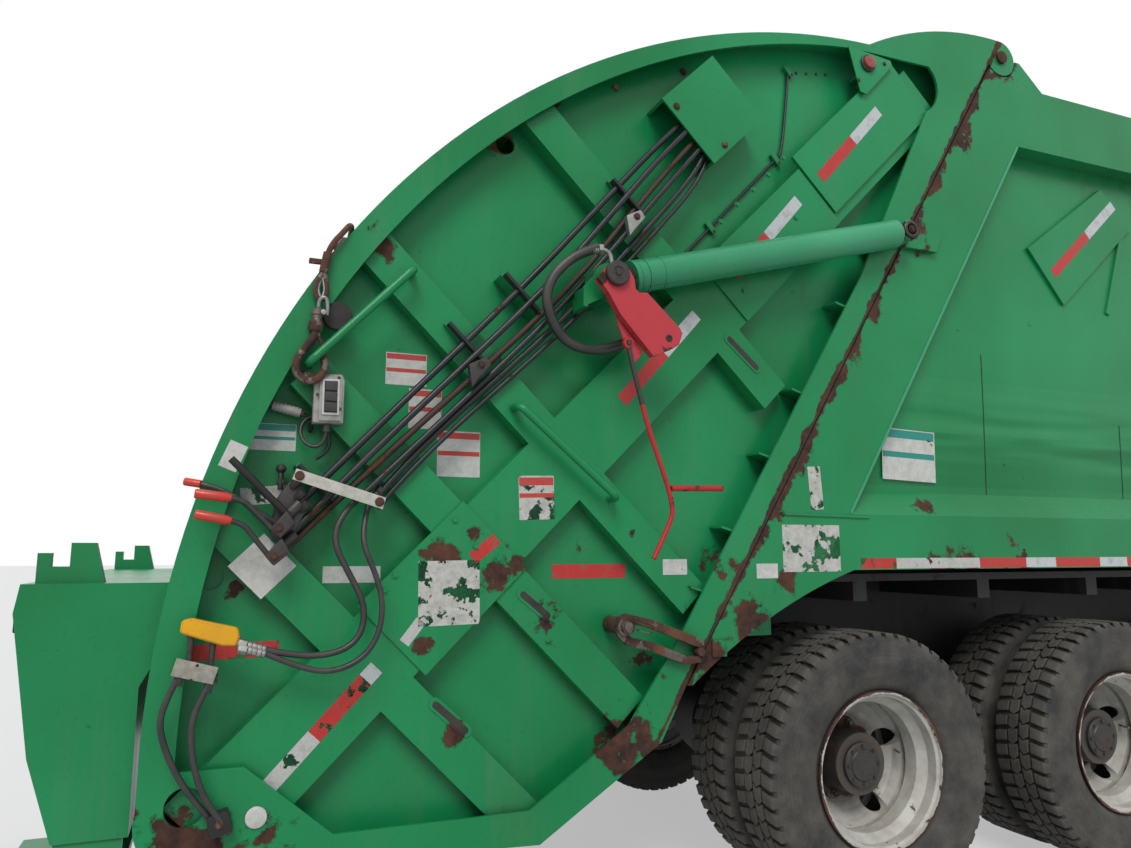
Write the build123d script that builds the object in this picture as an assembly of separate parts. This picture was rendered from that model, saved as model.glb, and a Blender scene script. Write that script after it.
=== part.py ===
"""A three-axle rear-loading garbage truck, in millimetres, built as separate pieces.

The truck faces +X, +Z is up and +Y is its left side. While it is drawn, x is measured from the rearmost
axle and z from the ground. On export every piece moves back by ORIGIN_X, so that the origin lies on the
ground under the middle of the truck's length.
"""
import os
from math import cos, radians, sin, sqrt, tan

from build123d import *

# Wheels and axles
TYRE_RADIUS = 520
TYRE_WIDTH = 279
BEAD_RADIUS = 287
RIM_FLANGE_RADIUS = 298
RIM_HALF_WIDTH = 115
RIM_DROP_RADIUS = 257         # outside of the rim's drop centre
RIM_WALL = 10
DISC_OFFSET = 165             # from the middle of a rim to the face that bolts to the hub
HAND_HOLES = 5
HAND_HOLE_RADIUS = 38
HAND_HOLE_CIRCLE = 218
AXLE_SPREAD = 1350            # between the two rear axles
WHEELBASE = 4950              # front axle to the middle of the rear pair
FRONT_AXLE_X = AXLE_SPREAD / 2 + WHEELBASE
REAR_AXLES_X = (AXLE_SPREAD, 0)
DUAL_OUTER_Y = 1080           # middle of an outer rear tyre
FRONT_TYRE_Y = 1010
KINGPIN_Y = 845
KINGPIN_RADIUS = 25
SPINDLE_RADIUS = 45
RUNNING_GAP = 0.3             # radial, between a shaft and what turns on it
STEER_HUB_RADIUS = 100
DRUM_RADIUS = 205
PINION_REACH = 260            # from an axle's centre to its shaft's flange

# Chassis
RAIL_TOP = 1020
RAIL_HEIGHT = 260
RAIL_OUTER_Y = 430
RAIL_FLANGE = 85
RAIL_WALL = 10
FRAME_REAR = -560

# Refuse body
HALF_WIDTH = 1160
WALL_INNER_Y = HALF_WIDTH - 120
PANEL_Y = HALF_WIDTH - 88     # outer face of the recessed side panel
PANEL_CROWN = 14
BODY_FRONT = FRONT_AXLE_X - 795
BODY_FLOOR_TOP = 1260
FLOOR_PLATE = 30
SIDE_RAIL_BOTTOM = 1280
SIDE_RAIL_TOP = 1500
SIDE_SLOPE_TOP = 1600
TOP_RAIL_BOTTOM = 3262
BODY_TOP = 3572
ROOF_CROWN = 45
ROOF_PLATE = 30
BOLSTER_WIDTH = 392           # along x, in front of the tailgate joint
HEADER_HEIGHT = 90

# Tailgate
HINGE_X = 957
HINGE_Z = 3700
HINGE_PIN_RADIUS = 30
EAR_RADIUS = 88
EAR_GAP = 8                   # clearance round an ear
SEAM_X = -775                 # lowest point of the joint between body and tailgate
SEAM_Z = 985
SEAM_ANGLE = 58.2             # of that joint above the horizontal, in degrees
SEAM_GAP = 12
BACK_X = -2579                # rearmost line of the tailgate's round back
HUMP_Z = 3587                 # its highest line
ARC_RADIUS = 2839
ARC_X = BACK_X + ARC_RADIUS
ARC_Z = HUMP_Z - ARC_RADIUS
SIDE_PLATE = 12
SIDE_INNER_Y = HALF_WIDTH - 112
RIB_Y = HALF_WIDTH - 30       # outer face of the stiffening boxes
COVER_PLATE = 8
BACK_OPENING_ANGLE = 150      # where the round back stops above the hopper's mouth
TAILGATE_LIFT = 55            # opening angle in degrees

# Packer
TRACK_Q = -2086               # the track's distance from the diagonal x = z
PIVOT_LOW_P = -310            # blade pivot along the track with the carriage down
CARRIAGE_TRAVEL = 690
HOPPER_RADIUS = 765
SILL_DEPTH = 463.89           # of the loading sill behind the hopper's edge
BLADE_LENGTH = 750
BLADE_HALF_WIDTH = WALL_INNER_Y - 18
CARRIAGE_HALF_WIDTH = SIDE_INNER_Y - 48
CARRIAGE_LENGTH = 1300
CARRIAGE_THICKNESS = 90
PACKER_PIN_RADIUS = 30
TRACK_BAR = 18
PIVOT_P = PIVOT_LOW_P + CARRIAGE_TRAVEL
SWEEP_CYLINDER_Y = 600
SWEEP_BASE = (1200, -115)     # cylinder base from the blade's pivot, along and across the track
SWEEP_BARREL_RADIUS = 46
SWEEP_ROD_RADIUS = 27
SWEEP_PIN_RADIUS = 20
SWEEP_BARREL_LENGTH = 880
HORN_RADIUS = 260
HORN_ANGLE = 150              # of the horn from the track, blade closed

# Lift cylinders
LIFT_BASE = (232, 2697)       # barrel pin on the body, as (x, z)
LIFT_EYE = (-1171, 2309)      # rod pin on the tailgate
LIFT_Y = HALF_WIDTH + 65
LIFT_BARREL_RADIUS = 60
LIFT_ROD_RADIUS = 25
LIFT_BARREL_END = 108         # from the rod's eye to the barrel's mouth, closed
LIFT_ROD_TAIL = 190           # from the barrel pin to the rod's piston end, closed
LIFT_PIN_RADIUS = 24
LIFT_LUG_RADIUS = 45
LIFT_CLEAR = 5                # between a barrel or its lug and the body's side
PROP_Y = LIFT_Y + 67
PROP_THICKNESS = 36
PROP_HANDLE_PIVOT = (-1136, 2062)

# Cab
CAB_HALF_WIDTH = 1100
CAB_WALL = 45
CAB_BACK = -500               # these four are from the front axle
CAB_NOSE = 1500
BUMPER_FRONT = 1620
BUMPER_BOTTOM = 430
DOOR_REAR = 640
DOOR_FRONT = 1380
CAB_BOTTOM = 800
CAB_TOP = 2780
WAIST = 1700
GLASS = 8
DOOR_GAP = 5
DOOR_THICKNESS = 40
CAB_HINGE_X = 1420
CAB_HINGE_Z = 860
TUNNEL_HALF_WIDTH = 480
TUNNEL_TOP = 1400
HINGE_HEIGHTS = (980, 1500)   # of the door's two hinges
HINGE_KNUCKLE = 13
HINGE_PIN = 6

ROOT2 = sqrt(2)
HOPPER_EDGE_X = (PIVOT_LOW_P + TRACK_Q) / ROOT2 - (HOPPER_RADIUS + SIDE_PLATE) * cos(radians(1))
HOPPER_REAR = HOPPER_EDGE_X - SILL_DEPTH
ORIGIN_X = (FRONT_AXLE_X + BUMPER_FRONT + HOPPER_REAR) / 2
SEAM_SLOPE = tan(radians(SEAM_ANGLE))
SEAM_NORMAL = 1 / sin(radians(SEAM_ANGLE))

os.makedirs("parts", exist_ok=True)


def save(name, *solids):
    """Writes one piece, moved so that the origin is under the middle of the truck."""
    shape = solids[0] if len(solids) == 1 else Compound(list(solids))
    export_step(Pos(-ORIGIN_X, 0, 0) * shape, f"parts/{name}.step")


def outline(*points):
    """A flat polygon."""
    return make_face(Polyline(*points, close=True))


def slab(face, y_low, y_high):
    """An outline drawn in x and z, made solid from y_low to y_high."""
    plane = Plane(origin=(0, y_high, 0), x_dir=(1, 0, 0), z_dir=(0, -1, 0))
    return extrude(plane * face, amount=y_high - y_low, dir=(0, -1, 0))


def prism(face, x_low, x_high):
    """An outline drawn in y and z, made solid from x_low to x_high."""
    plane = Plane(origin=(x_low, 0, 0), x_dir=(0, 1, 0), z_dir=(1, 0, 0))
    return extrude(plane * face, amount=x_high - x_low, dir=(1, 0, 0))


def block(x_low, x_high, y_low, y_high, z_low, z_high):
    """A box between two corners."""
    size = (x_high - x_low, y_high - y_low, z_high - z_low)
    middle = ((x_low + x_high) / 2, (y_low + y_high) / 2, (z_low + z_high) / 2)
    return Pos(*middle) * Box(*size)


def bar(start, end, radius):
    """A round bar between two points."""
    start, end = Vector(*start), Vector(*end)
    plane = Plane(origin=start, z_dir=end - start)
    return extrude(plane * Circle(radius), amount=(end - start).length)


def round_y(x, z, radius, y_low, y_high):
    """A round bar across the truck."""
    return bar((x, y_low, z), (x, y_high, z), radius)


def both(shape):
    """A left-hand shape and its mirror on the right."""
    return shape, mirror(shape, about=Plane.XZ)


def right(shape):
    """The right-hand mirror of a left-hand shape."""
    return mirror(shape, about=Plane.XZ)


def fused(shapes):
    """Several shapes joined into one."""
    shapes = list(shapes)
    whole = shapes[0]
    for shape in shapes[1:]:
        whole = whole + shape
    return whole


def bent_bar(points, radius, bend):
    """A round bar along straight runs, with the same bend radius at every corner."""
    path = FilletPolyline(*points, radius=bend)
    start = Plane(origin=path @ 0, z_dir=path % 0)
    return sweep(start * Circle(radius), path=path)


def pq(p, q):
    """A place by its distance p along the packer's track and q across it, as (x, z)."""
    return (p + q) / ROOT2, (p - q) / ROOT2


def diagonal(p_low, p_high, q_low, q_high):
    """A rectangle that lies along the packer's track."""
    return outline(pq(p_low, q_low), pq(p_high, q_low), pq(p_high, q_high), pq(p_low, q_high))


def seam_x(z, ahead=0):
    """x of the joint between body and tailgate at height z, moved ahead by a gap."""
    return SEAM_X + (z - SEAM_Z) / SEAM_SLOPE + ahead * SEAM_NORMAL


def on_circle(centre_x, centre_z, radius, angle):
    """A point on a circle, with the angle in degrees from +X towards +Z."""
    return centre_x + radius * cos(radians(angle)), centre_z + radius * sin(radians(angle))


# Wheels: each is turned about the Y axis and then put on its axle


def tyre_section(y_middle):
    """Half of a tyre's outline in radius and y: beads, round sidewalls and a flat tread."""
    bead, tread = BEAD_RADIUS + RUNNING_GAP, TYRE_WIDTH / 2 - 25
    inner, outer = y_middle - TYRE_WIDTH / 2, y_middle + TYRE_WIDTH / 2
    seat = RIM_HALF_WIDTH - 17
    lip = RIM_FLANGE_RADIUS + 2
    edges = [
        Line((bead, y_middle - seat), (bead, y_middle + seat)),
        Line((bead, y_middle + seat), (lip, y_middle + seat)),
        ThreePointArc((lip, y_middle + seat), (405, outer), (TYRE_RADIUS - 22, outer - 12)),
        Line((TYRE_RADIUS - 22, outer - 12), (TYRE_RADIUS, y_middle + tread)),
        Line((TYRE_RADIUS, y_middle + tread), (TYRE_RADIUS, y_middle - tread)),
        Line((TYRE_RADIUS, y_middle - tread), (TYRE_RADIUS - 22, inner + 12)),
        ThreePointArc((TYRE_RADIUS - 22, inner + 12), (405, inner), (lip, y_middle - seat)),
        Line((lip, y_middle - seat), (bead, y_middle - seat)),
    ]
    return make_face(edges)


def rim_section(y_middle, side):
    """A rim and its dished disc in radius and y. side is +1 where the disc lies towards -y."""
    seat = BEAD_RADIUS
    outer = [
        (RIM_FLANGE_RADIUS, -RIM_HALF_WIDTH),
        (RIM_FLANGE_RADIUS, -RIM_HALF_WIDTH + 10),
        (seat, -RIM_HALF_WIDTH + 16),
        (seat, -60),
        (RIM_DROP_RADIUS, -35),
        (RIM_DROP_RADIUS, 25),
        (seat, 55),
        (seat, RIM_HALF_WIDTH - 16),
        (RIM_FLANGE_RADIUS, RIM_HALF_WIDTH - 10),
        (RIM_FLANGE_RADIUS, RIM_HALF_WIDTH),
    ]
    inner = [(r - RIM_WALL - 2, y) for r, y in reversed(outer)]
    inner[0] = (RIM_FLANGE_RADIUS - RIM_WALL, RIM_HALF_WIDTH)
    inner[-1] = (RIM_FLANGE_RADIUS - RIM_WALL, -RIM_HALF_WIDTH)
    band = outline(*[(r, y_middle + side * y) for r, y in outer + inner])
    face = -DISC_OFFSET
    dish = [
        (90, face),
        (178, face),
        (212, face + 20),
        (246, face + 50),
        (262, face + 86),
        (RIM_DROP_RADIUS + 24, face + 96),
        (RIM_DROP_RADIUS + 24, face + 108),
        (250, face + 100),
        (234, face + 62),
        (203, face + 31),
        (172, face + 12),
        (90, face + 12),
    ]
    disc = outline(*[(r, y_middle + side * y) for r, y in dish])
    return band + disc


def turned(face, axle_x):
    """A section in radius and y, revolved and put on its axle."""
    return Pos(axle_x, 0, TYRE_RADIUS) * revolve(face, axis=Axis.Y, revolution_arc=360)


def hand_hole_cuts(y_low, y_high):
    """Round bars to cut the hand holes of a wheel disc."""
    holes = []
    for number in range(HAND_HOLES):
        x, z = on_circle(0, 0, HAND_HOLE_CIRCLE, 90 + number * 360 / HAND_HOLES)
        holes.append(round_y(x, z, HAND_HOLE_RADIUS, y_low, y_high))
    return holes


def bore_section(y_low, y_high):
    return outline((0, y_low), (SPINDLE_RADIUS + RUNNING_GAP, y_low),
                   (SPINDLE_RADIUS + RUNNING_GAP, y_high), (0, y_high))


def barrel_section(radius, y_low, y_high):
    return outline((0, y_low), (radius, y_low), (radius, y_high), (0, y_high))


def dual_wheels(axle_x):
    """Two dished wheels back to back on one hub with its brake drum, left-hand side."""
    mount = DUAL_OUTER_Y - DISC_OFFSET
    section = (
        rim_section(DUAL_OUTER_Y, 1)
        + rim_section(mount - DISC_OFFSET, -1)
        + barrel_section(118, 640, mount + 150)
        + barrel_section(84, mount + 150, mount + 168)
        + barrel_section(172, mount - 18, mount + 18)
        + barrel_section(DRUM_RADIUS, 640, mount - 110)
        - bore_section(640, mount + 100)
    )
    wheels = revolve(section, axis=Axis.Y, revolution_arc=360)
    wheels -= hand_hole_cuts(mount + 1, mount + 120)
    wheels -= hand_hole_cuts(mount - 105, mount - 1)
    return Pos(axle_x, 0, TYRE_RADIUS) * wheels


def dual_tyres(axle_x):
    """The two tyres of a rear hub, left-hand side."""
    inner_y = DUAL_OUTER_Y - 2 * DISC_OFFSET
    return [turned(tyre_section(y), axle_x) for y in (DUAL_OUTER_Y, inner_y)]


def front_wheel():
    """A wheel with its disc on the outside, with hub and drum, left-hand side."""
    mount = FRONT_TYRE_Y + DISC_OFFSET
    section = (
        rim_section(FRONT_TYRE_Y, -1)
        + barrel_section(STEER_HUB_RADIUS, 940, mount + 60)
        + barrel_section(172, mount - 30, mount + 6)
        + barrel_section(DRUM_RADIUS, 940, 1050)
        - bore_section(940, mount + 10)
    )
    wheel = revolve(section, axis=Axis.Y, revolution_arc=360)
    wheel -= hand_hole_cuts(mount - 120, mount + 20)
    return Pos(FRONT_AXLE_X, 0, TYRE_RADIUS) * wheel


for axle, axle_x in zip((2, 3), REAR_AXLES_X):
    left_tyres, left_wheels = dual_tyres(axle_x), dual_wheels(axle_x)
    save(f"axle{axle}_left_tyres", *left_tyres)
    save(f"axle{axle}_right_tyres", *[right(tyre) for tyre in left_tyres])
    save(f"axle{axle}_left_wheels", left_wheels)
    save(f"axle{axle}_right_wheels", right(left_wheels))

for side, shape in zip(("left", "right"), both(turned(tyre_section(FRONT_TYRE_Y), FRONT_AXLE_X))):
    save(f"axle1_{side}_tyre", shape)
for side, shape in zip(("left", "right"), both(front_wheel())):
    save(f"axle1_{side}_wheel", shape)


# Steered axle


def knuckle():
    """The forked knuckle, its kingpin, spindle and steering arm, left-hand side."""
    x, z = FRONT_AXLE_X, TYRE_RADIUS
    ears = [
        Pos(x, KINGPIN_Y, z + dz) * Cylinder(50, 40) for dz in (-78, 78)
    ]
    pin = Pos(x, KINGPIN_Y, z) * Cylinder(KINGPIN_RADIUS, 190)
    back = block(x - 50, x + 50, 900, 932, z - 98, z + 98)
    webs = [block(x - 45, x + 45, KINGPIN_Y, 910, z + dz - 20, z + dz + 20) for dz in (-78, 78)]
    spindle = round_y(x, z, SPINDLE_RADIUS, 930, 1170)
    arm = block(x - 255, x - 40, 850, 880, z - 96, z - 64)
    return fused([back, spindle, arm, pin, *ears, *webs])


def front_axle():
    """The dropped I-beam with its leaf springs, shackles and kingpin bosses."""
    x, z = FRONT_AXLE_X, TYRE_RADIUS
    half = outline((0, z - 130), (480, z - 130), (760, z - 50), (KINGPIN_Y, z - 50),
                   (KINGPIN_Y, z + 50), (740, z + 50), (480, z - 20), (0, z - 20))
    beam = fused(both(prism(half, x - 45, x + 45)))
    waist = outline((0, z - 105), (470, z - 105), (700, z - 38), (700, z + 22), (480, z - 45), (0, z - 45))
    for x_low, x_high in ((x - 45, x - 12), (x + 12, x + 45)):
        beam -= fused(both(prism(waist, x_low, x_high)))
    boss = Pos(x, KINGPIN_Y, z) * Cylinder(50, 100)
    beam += fused(both(boss))
    bore = Pos(x, KINGPIN_Y, z) * Cylinder(KINGPIN_RADIUS + RUNNING_GAP, 120)
    for cut in both(bore):
        beam -= cut
    rail_bottom = RAIL_TOP - RAIL_HEIGHT
    leaf = [
        ThreePointArc((x - 700, rail_bottom - 40), (x, z + 20), (x + 700, rail_bottom - 40)),
        Line((x + 700, rail_bottom - 40), (x + 700, rail_bottom - 75)),
        ThreePointArc((x + 700, rail_bottom - 75), (x, z - 22), (x - 700, rail_bottom - 75)),
        Line((x - 700, rail_bottom - 75), (x - 700, rail_bottom - 40)),
    ]
    spring = slab(make_face(leaf), RAIL_OUTER_Y - 80, RAIL_OUTER_Y)
    hangers = [
        block(x + dx - 35, x + dx + 35, RAIL_OUTER_Y - 75, RAIL_OUTER_Y - 5, rail_bottom - 85, rail_bottom)
        for dx in (-690, 690)
    ]
    clamp = block(x - 110, x + 110, RAIL_OUTER_Y - 85, RAIL_OUTER_Y + 5, z - 25, z + 60)
    side = fused([spring, clamp, *hangers])
    return fused([beam, *both(side)])


for side, shape in zip(("left", "right"), both(knuckle())):
    save(f"axle1_{side}_knuckle", shape)
save("front_axle", front_axle())


# Chassis


def rear_bogie():
    """Both rear axle housings with their differentials, hung on two rocking beams."""
    z = TYRE_RADIUS
    rail_bottom = RAIL_TOP - RAIL_HEIGHT
    pieces = []
    for x in REAR_AXLES_X:
        pieces.append(round_y(x, z, 72, -600, 600))
        pieces.append(round_y(x, z, 195, -85, 85))
        pieces.append(bar((x, 0, z), (x + PINION_REACH, 0, z), 85))
        pieces += both(round_y(x, z, SPINDLE_RADIUS, 595, 1000))
    pieces.append(bar((AXLE_SPREAD, 0, z), (AXLE_SPREAD - PINION_REACH, 0, z), 60))
    middle = AXLE_SPREAD / 2
    beam = outline((-70, z - 60), (70, z - 85), (middle, z - 110), (AXLE_SPREAD - 70, z - 85),
                   (AXLE_SPREAD + 70, z - 60), (AXLE_SPREAD + 70, z + 60), (AXLE_SPREAD - 90, z + 75),
                   (middle, z + 60), (90, z + 75), (-70, z + 60))
    saddle = outline((middle - 80, z), (middle + 80, z), (middle + 190, rail_bottom), (middle - 190, rail_bottom))
    pieces += both(slab(beam, 475, 555))
    pieces += both(slab(saddle, RAIL_OUTER_Y - 70, 520))
    pieces.append(round_y(middle, z - 95, 40, -560, 560))
    return fused(pieces)


def chassis_frame():
    """Two channel rails joined by flat cross members."""
    front = FRONT_AXLE_X + 1380
    z_low, z_high = RAIL_TOP - RAIL_HEIGHT, RAIL_TOP
    inner = RAIL_OUTER_Y - RAIL_FLANGE
    channel = outline((inner, z_low), (RAIL_OUTER_Y, z_low), (RAIL_OUTER_Y, z_high), (inner, z_high),
                      (inner, z_high - RAIL_WALL), (RAIL_OUTER_Y - RAIL_WALL, z_high - RAIL_WALL),
                      (RAIL_OUTER_Y - RAIL_WALL, z_low + RAIL_WALL), (inner, z_low + RAIL_WALL))
    rails = both(prism(channel, FRAME_REAR, front))
    web = RAIL_OUTER_Y - RAIL_WALL
    places = [FRAME_REAR + 50, AXLE_SPREAD / 2, front - 50]
    places += [FRONT_AXLE_X + dx for dx in (-3625, -2725, -1925, -1250, 1000)]
    members = [block(x - 40, x + 40, -web, web, z_high - 130, z_high - RAIL_WALL) for x in places]
    return fused([*rails, *members])


def driveline():
    """Gearbox and the two propeller shafts."""
    gearbox_front, gearbox_rear = FRONT_AXLE_X - 450, FRONT_AXLE_X - 1150
    box = fused([
        Pos((gearbox_front + gearbox_front - 260) / 2, 0, 740) * Rot(0, 90, 0) * Cylinder(235, 260),
        Pos((gearbox_front - 200 + gearbox_rear) / 2, 0, 740)
        * Rot(0, 90, 0) * Cylinder(150, gearbox_front - 200 - gearbox_rear),
    ])
    z = TYRE_RADIUS
    flanges = [bar((x, 0, z), (x + 45, 0, z), 62) for x in (AXLE_SPREAD + PINION_REACH, PINION_REACH)]
    output = bar((AXLE_SPREAD - PINION_REACH, 0, z), (AXLE_SPREAD - PINION_REACH - 45, 0, z), 62)
    long_shaft = bar((gearbox_rear + 10, 0, 740), (AXLE_SPREAD + PINION_REACH + 25, 0, z), 55)
    short_shaft = bar((AXLE_SPREAD - PINION_REACH - 25, 0, z), (PINION_REACH + 25, 0, z), 50)
    return fused([box, long_shaft, flanges[0]]), fused([short_shaft, flanges[1], output])


def bumper():
    """A deep folded front bumper with lamp pockets, on two brackets from the rails."""
    x = FRONT_AXLE_X
    face = outline((x + 1430, 0), (x + 1430, CAB_HALF_WIDTH), (x + 1540, CAB_HALF_WIDTH),
                   (x + BUMPER_FRONT, CAB_HALF_WIDTH - 130), (x + BUMPER_FRONT, 0))
    half = extrude(Pos(0, 0, BUMPER_BOTTOM) * face, amount=310, dir=(0, 0, 1))
    skin = outline((x + 1430, 0), (x + 1430, CAB_HALF_WIDTH - 12), (x + 1535, CAB_HALF_WIDTH - 12),
                   (x + BUMPER_FRONT - 12, CAB_HALF_WIDTH - 136), (x + BUMPER_FRONT - 12, 0))
    half -= extrude(Pos(0, 0, BUMPER_BOTTOM + 12) * skin, amount=286, dir=(0, 0, 1))
    half += block(x + 1290, x + BUMPER_FRONT - 6, 300, RAIL_OUTER_Y, 640, 740)
    half += block(x + 1290, x + 1370, RAIL_OUTER_Y - RAIL_FLANGE, RAIL_OUTER_Y, 738, RAIL_TOP - RAIL_HEIGHT)
    ear = outline((x + 1290, 690), (x + 1330, 690), (x + 1388, 800), (x + CAB_HINGE_X + 20, CAB_HINGE_Z - 20),
                  (x + CAB_HINGE_X - 20, CAB_HINGE_Z + 20))
    half += slab(ear, 300, 335)
    half += round_y(x + CAB_HINGE_X, CAB_HINGE_Z, 28, 300, 335)
    half += round_y(x + CAB_HINGE_X, CAB_HINGE_Z, 15, 240, 300)
    half -= block(x + BUMPER_FRONT - 60, x + BUMPER_FRONT + 5, 640, 900, 520, 660)
    return fused(both(half))


def headlamps():
    """Two rectangular lamp units set in the bumper's pockets."""
    x = FRONT_AXLE_X + BUMPER_FRONT
    lamp = block(x - 60, x - 4, 640, 900, 520, 660)
    lens = block(x - 4, x, 652, 888, 532, 648)
    return both(lamp + lens)


def tow_eyes():
    """Two bored tow eyes under the bumper's brackets."""
    x = FRONT_AXLE_X + 1560
    plate = slab(outline((x - 150, BUMPER_BOTTOM), (x, BUMPER_BOTTOM), (x, 340), (x - 150, 340)), 370, 395)
    plate += round_y(x, 384.5, 44.5, 370, 395)
    plate -= round_y(x, 384.5, 21, 360, 405)
    return both(plate)


def fuel_tank():
    """A round tank on the left with its straps, brackets and filler."""
    x_low, x_high, y, z, radius = FRONT_AXLE_X - 2275, FRONT_AXLE_X - 975, 790, 720, 310
    tank = bar((x_low, y, z), (x_high, y, z), radius)
    for x in (x_low + 250, x_high - 250):
        tank += bar((x - 30, y, z), (x + 30, y, z), radius + 6)
        tank += block(x - 40, x + 40, RAIL_OUTER_Y, 520, RAIL_TOP - RAIL_HEIGHT + 20, RAIL_TOP - 60)
    tank += bar((x_high - 450, y + 190, z + 200), (x_high - 450, y + 240, z + 290), 45)
    return tank


def side_boxes():
    """The battery box and the tool box on the right, each on two brackets."""
    boxes = []
    for behind, length, z_low in ((1605, 630, 520), (2975, 850, 560)):
        x_low, x_high = FRONT_AXLE_X - behind, FRONT_AXLE_X - behind + length
        box = block(x_low, x_high, 500, 1080, z_low, 980)
        box = chamfer(box.edges().filter_by(Axis.X).sort_by(Axis.Y)[-2:], 35)
        for x in (x_low + 80, x_high - 80):
            box += block(x - 35, x + 35, RAIL_OUTER_Y, 510, RAIL_TOP - RAIL_HEIGHT + 20, RAIL_TOP - 60)
        boxes.append(right(box))
    return boxes


def exhaust_stack():
    """A muffler and stack that stand behind the cab on a bracket from the right-hand rail."""
    x, y = FRONT_AXLE_X - 648, 800
    stack = bar((x, y, 1120), (x, y, 3350), 60)
    stack += bar((x, y, 1450), (x, y, 2550), 105)
    stack += bar((x, y, 3330), (x, y + 60, 3470), 60)
    stack += block(x - 60, x + 60, RAIL_OUTER_Y - 60, y + 70, 1090, 1125)
    stack += block(x - 60, x + 60, RAIL_OUTER_Y - 60, RAIL_OUTER_Y, RAIL_TOP, 1100)
    return right(stack)


save("chassis_frame", chassis_frame())
save("rear_bogie", rear_bogie())
save("driveline", *driveline())
save("engine_block", block(FRONT_AXLE_X - 450, FRONT_AXLE_X + 800, -320, 320, 640, 1330))
save("bumper", bumper())
save("headlamps", *headlamps())
save("tow_eyes", *tow_eyes())
save("fuel_tank", fuel_tank())
save("side_boxes", *side_boxes())
save("exhaust_stack", exhaust_stack())


# Refuse body


def bolster_front_x(z, ahead=0):
    """x of the bolster's front edge at height z."""
    return seam_x(z) + BOLSTER_WIDTH + ahead


def body_side():
    """The left wall: a lower rail with a sloping top, a crowned panel and a deep top rail."""
    section = [
        Line((WALL_INNER_Y, SIDE_RAIL_BOTTOM), (HALF_WIDTH, SIDE_RAIL_BOTTOM)),
        Line((HALF_WIDTH, SIDE_RAIL_BOTTOM), (HALF_WIDTH, SIDE_RAIL_TOP)),
        Line((HALF_WIDTH, SIDE_RAIL_TOP), (PANEL_Y, SIDE_SLOPE_TOP)),
        ThreePointArc((PANEL_Y, SIDE_SLOPE_TOP),
                      (PANEL_Y + PANEL_CROWN, (SIDE_SLOPE_TOP + TOP_RAIL_BOTTOM) / 2),
                      (PANEL_Y, TOP_RAIL_BOTTOM)),
        Line((PANEL_Y, TOP_RAIL_BOTTOM), (HALF_WIDTH, TOP_RAIL_BOTTOM)),
        Line((HALF_WIDTH, TOP_RAIL_BOTTOM), (HALF_WIDTH, BODY_TOP)),
        Line((HALF_WIDTH, BODY_TOP), (WALL_INNER_Y, BODY_TOP)),
        Line((WALL_INNER_Y, BODY_TOP), (WALL_INNER_Y, SIDE_RAIL_BOTTOM)),
    ]
    wall = prism(make_face(section), -200, BODY_FRONT)
    kept = outline((bolster_front_x(SIDE_RAIL_TOP), 1200), (BODY_FRONT + 1, 1200),
                   (BODY_FRONT + 1, BODY_TOP + 1), (bolster_front_x(BODY_TOP + 1), BODY_TOP + 1),
                   (bolster_front_x(SIDE_RAIL_TOP), SIDE_RAIL_TOP))
    wall = wall & slab(kept, WALL_INNER_Y - 1, HALF_WIDTH + 1)
    post = block(BODY_FRONT - 130, BODY_FRONT, PANEL_Y - 5, HALF_WIDTH, SIDE_RAIL_TOP - 10, TOP_RAIL_BOTTOM + 10)
    plate = outline((1114, 2789), (1324, 2530), (1863, 2998), (1657, 3171))
    strip = outline((1819, 2982), (1795, 2991), (1622, 2523), (1646, 2514))
    return wall + post + slab(plate, PANEL_Y - 2, HALF_WIDTH - 60) + slab(strip, PANEL_Y - 2, HALF_WIDTH - 64)


def body_roof():
    """The crowned roof sheet between the top rails, with the front wall under it."""
    rear = bolster_front_x(BODY_TOP)
    arc = ThreePointArc((-WALL_INNER_Y, BODY_TOP), (0, BODY_TOP + ROOF_CROWN), (WALL_INNER_Y, BODY_TOP))
    lower = ThreePointArc((WALL_INNER_Y, BODY_TOP - ROOF_PLATE), (0, BODY_TOP + ROOF_CROWN - ROOF_PLATE),
                          (-WALL_INNER_Y, BODY_TOP - ROOF_PLATE))
    section = make_face([arc, Line(arc @ 1, lower @ 0), lower, Line(lower @ 1, arc @ 0)])
    left, right_side = (WALL_INNER_Y, BODY_FLOOR_TOP), (-WALL_INNER_Y, BODY_FLOOR_TOP)
    wall = make_face([lower, Line(lower @ 1, right_side), Line(right_side, left), Line(left, lower @ 0)])
    return prism(section, rear, BODY_FRONT) + prism(wall, BODY_FRONT - 50, BODY_FRONT)


def body_floor():
    """The floor plate on its long sills and cross bearers."""
    plate_bottom = BODY_FLOOR_TOP - FLOOR_PLATE
    rear = seam_x(BODY_FLOOR_TOP, SEAM_GAP) + 40
    floor = block(rear, BODY_FRONT, -WALL_INNER_Y, WALL_INNER_Y, plate_bottom, BODY_FLOOR_TOP)
    sills = both(block(-380, BODY_FRONT, RAIL_OUTER_Y - RAIL_FLANGE, RAIL_OUTER_Y, RAIL_TOP, plate_bottom))
    bearers = [
        block(x - 35, x + 35, -WALL_INNER_Y, WALL_INNER_Y, plate_bottom - 80, plate_bottom)
        for x in range(60, int(BODY_FRONT), 680)
    ]
    return fused([floor, *sills, *bearers])


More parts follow.
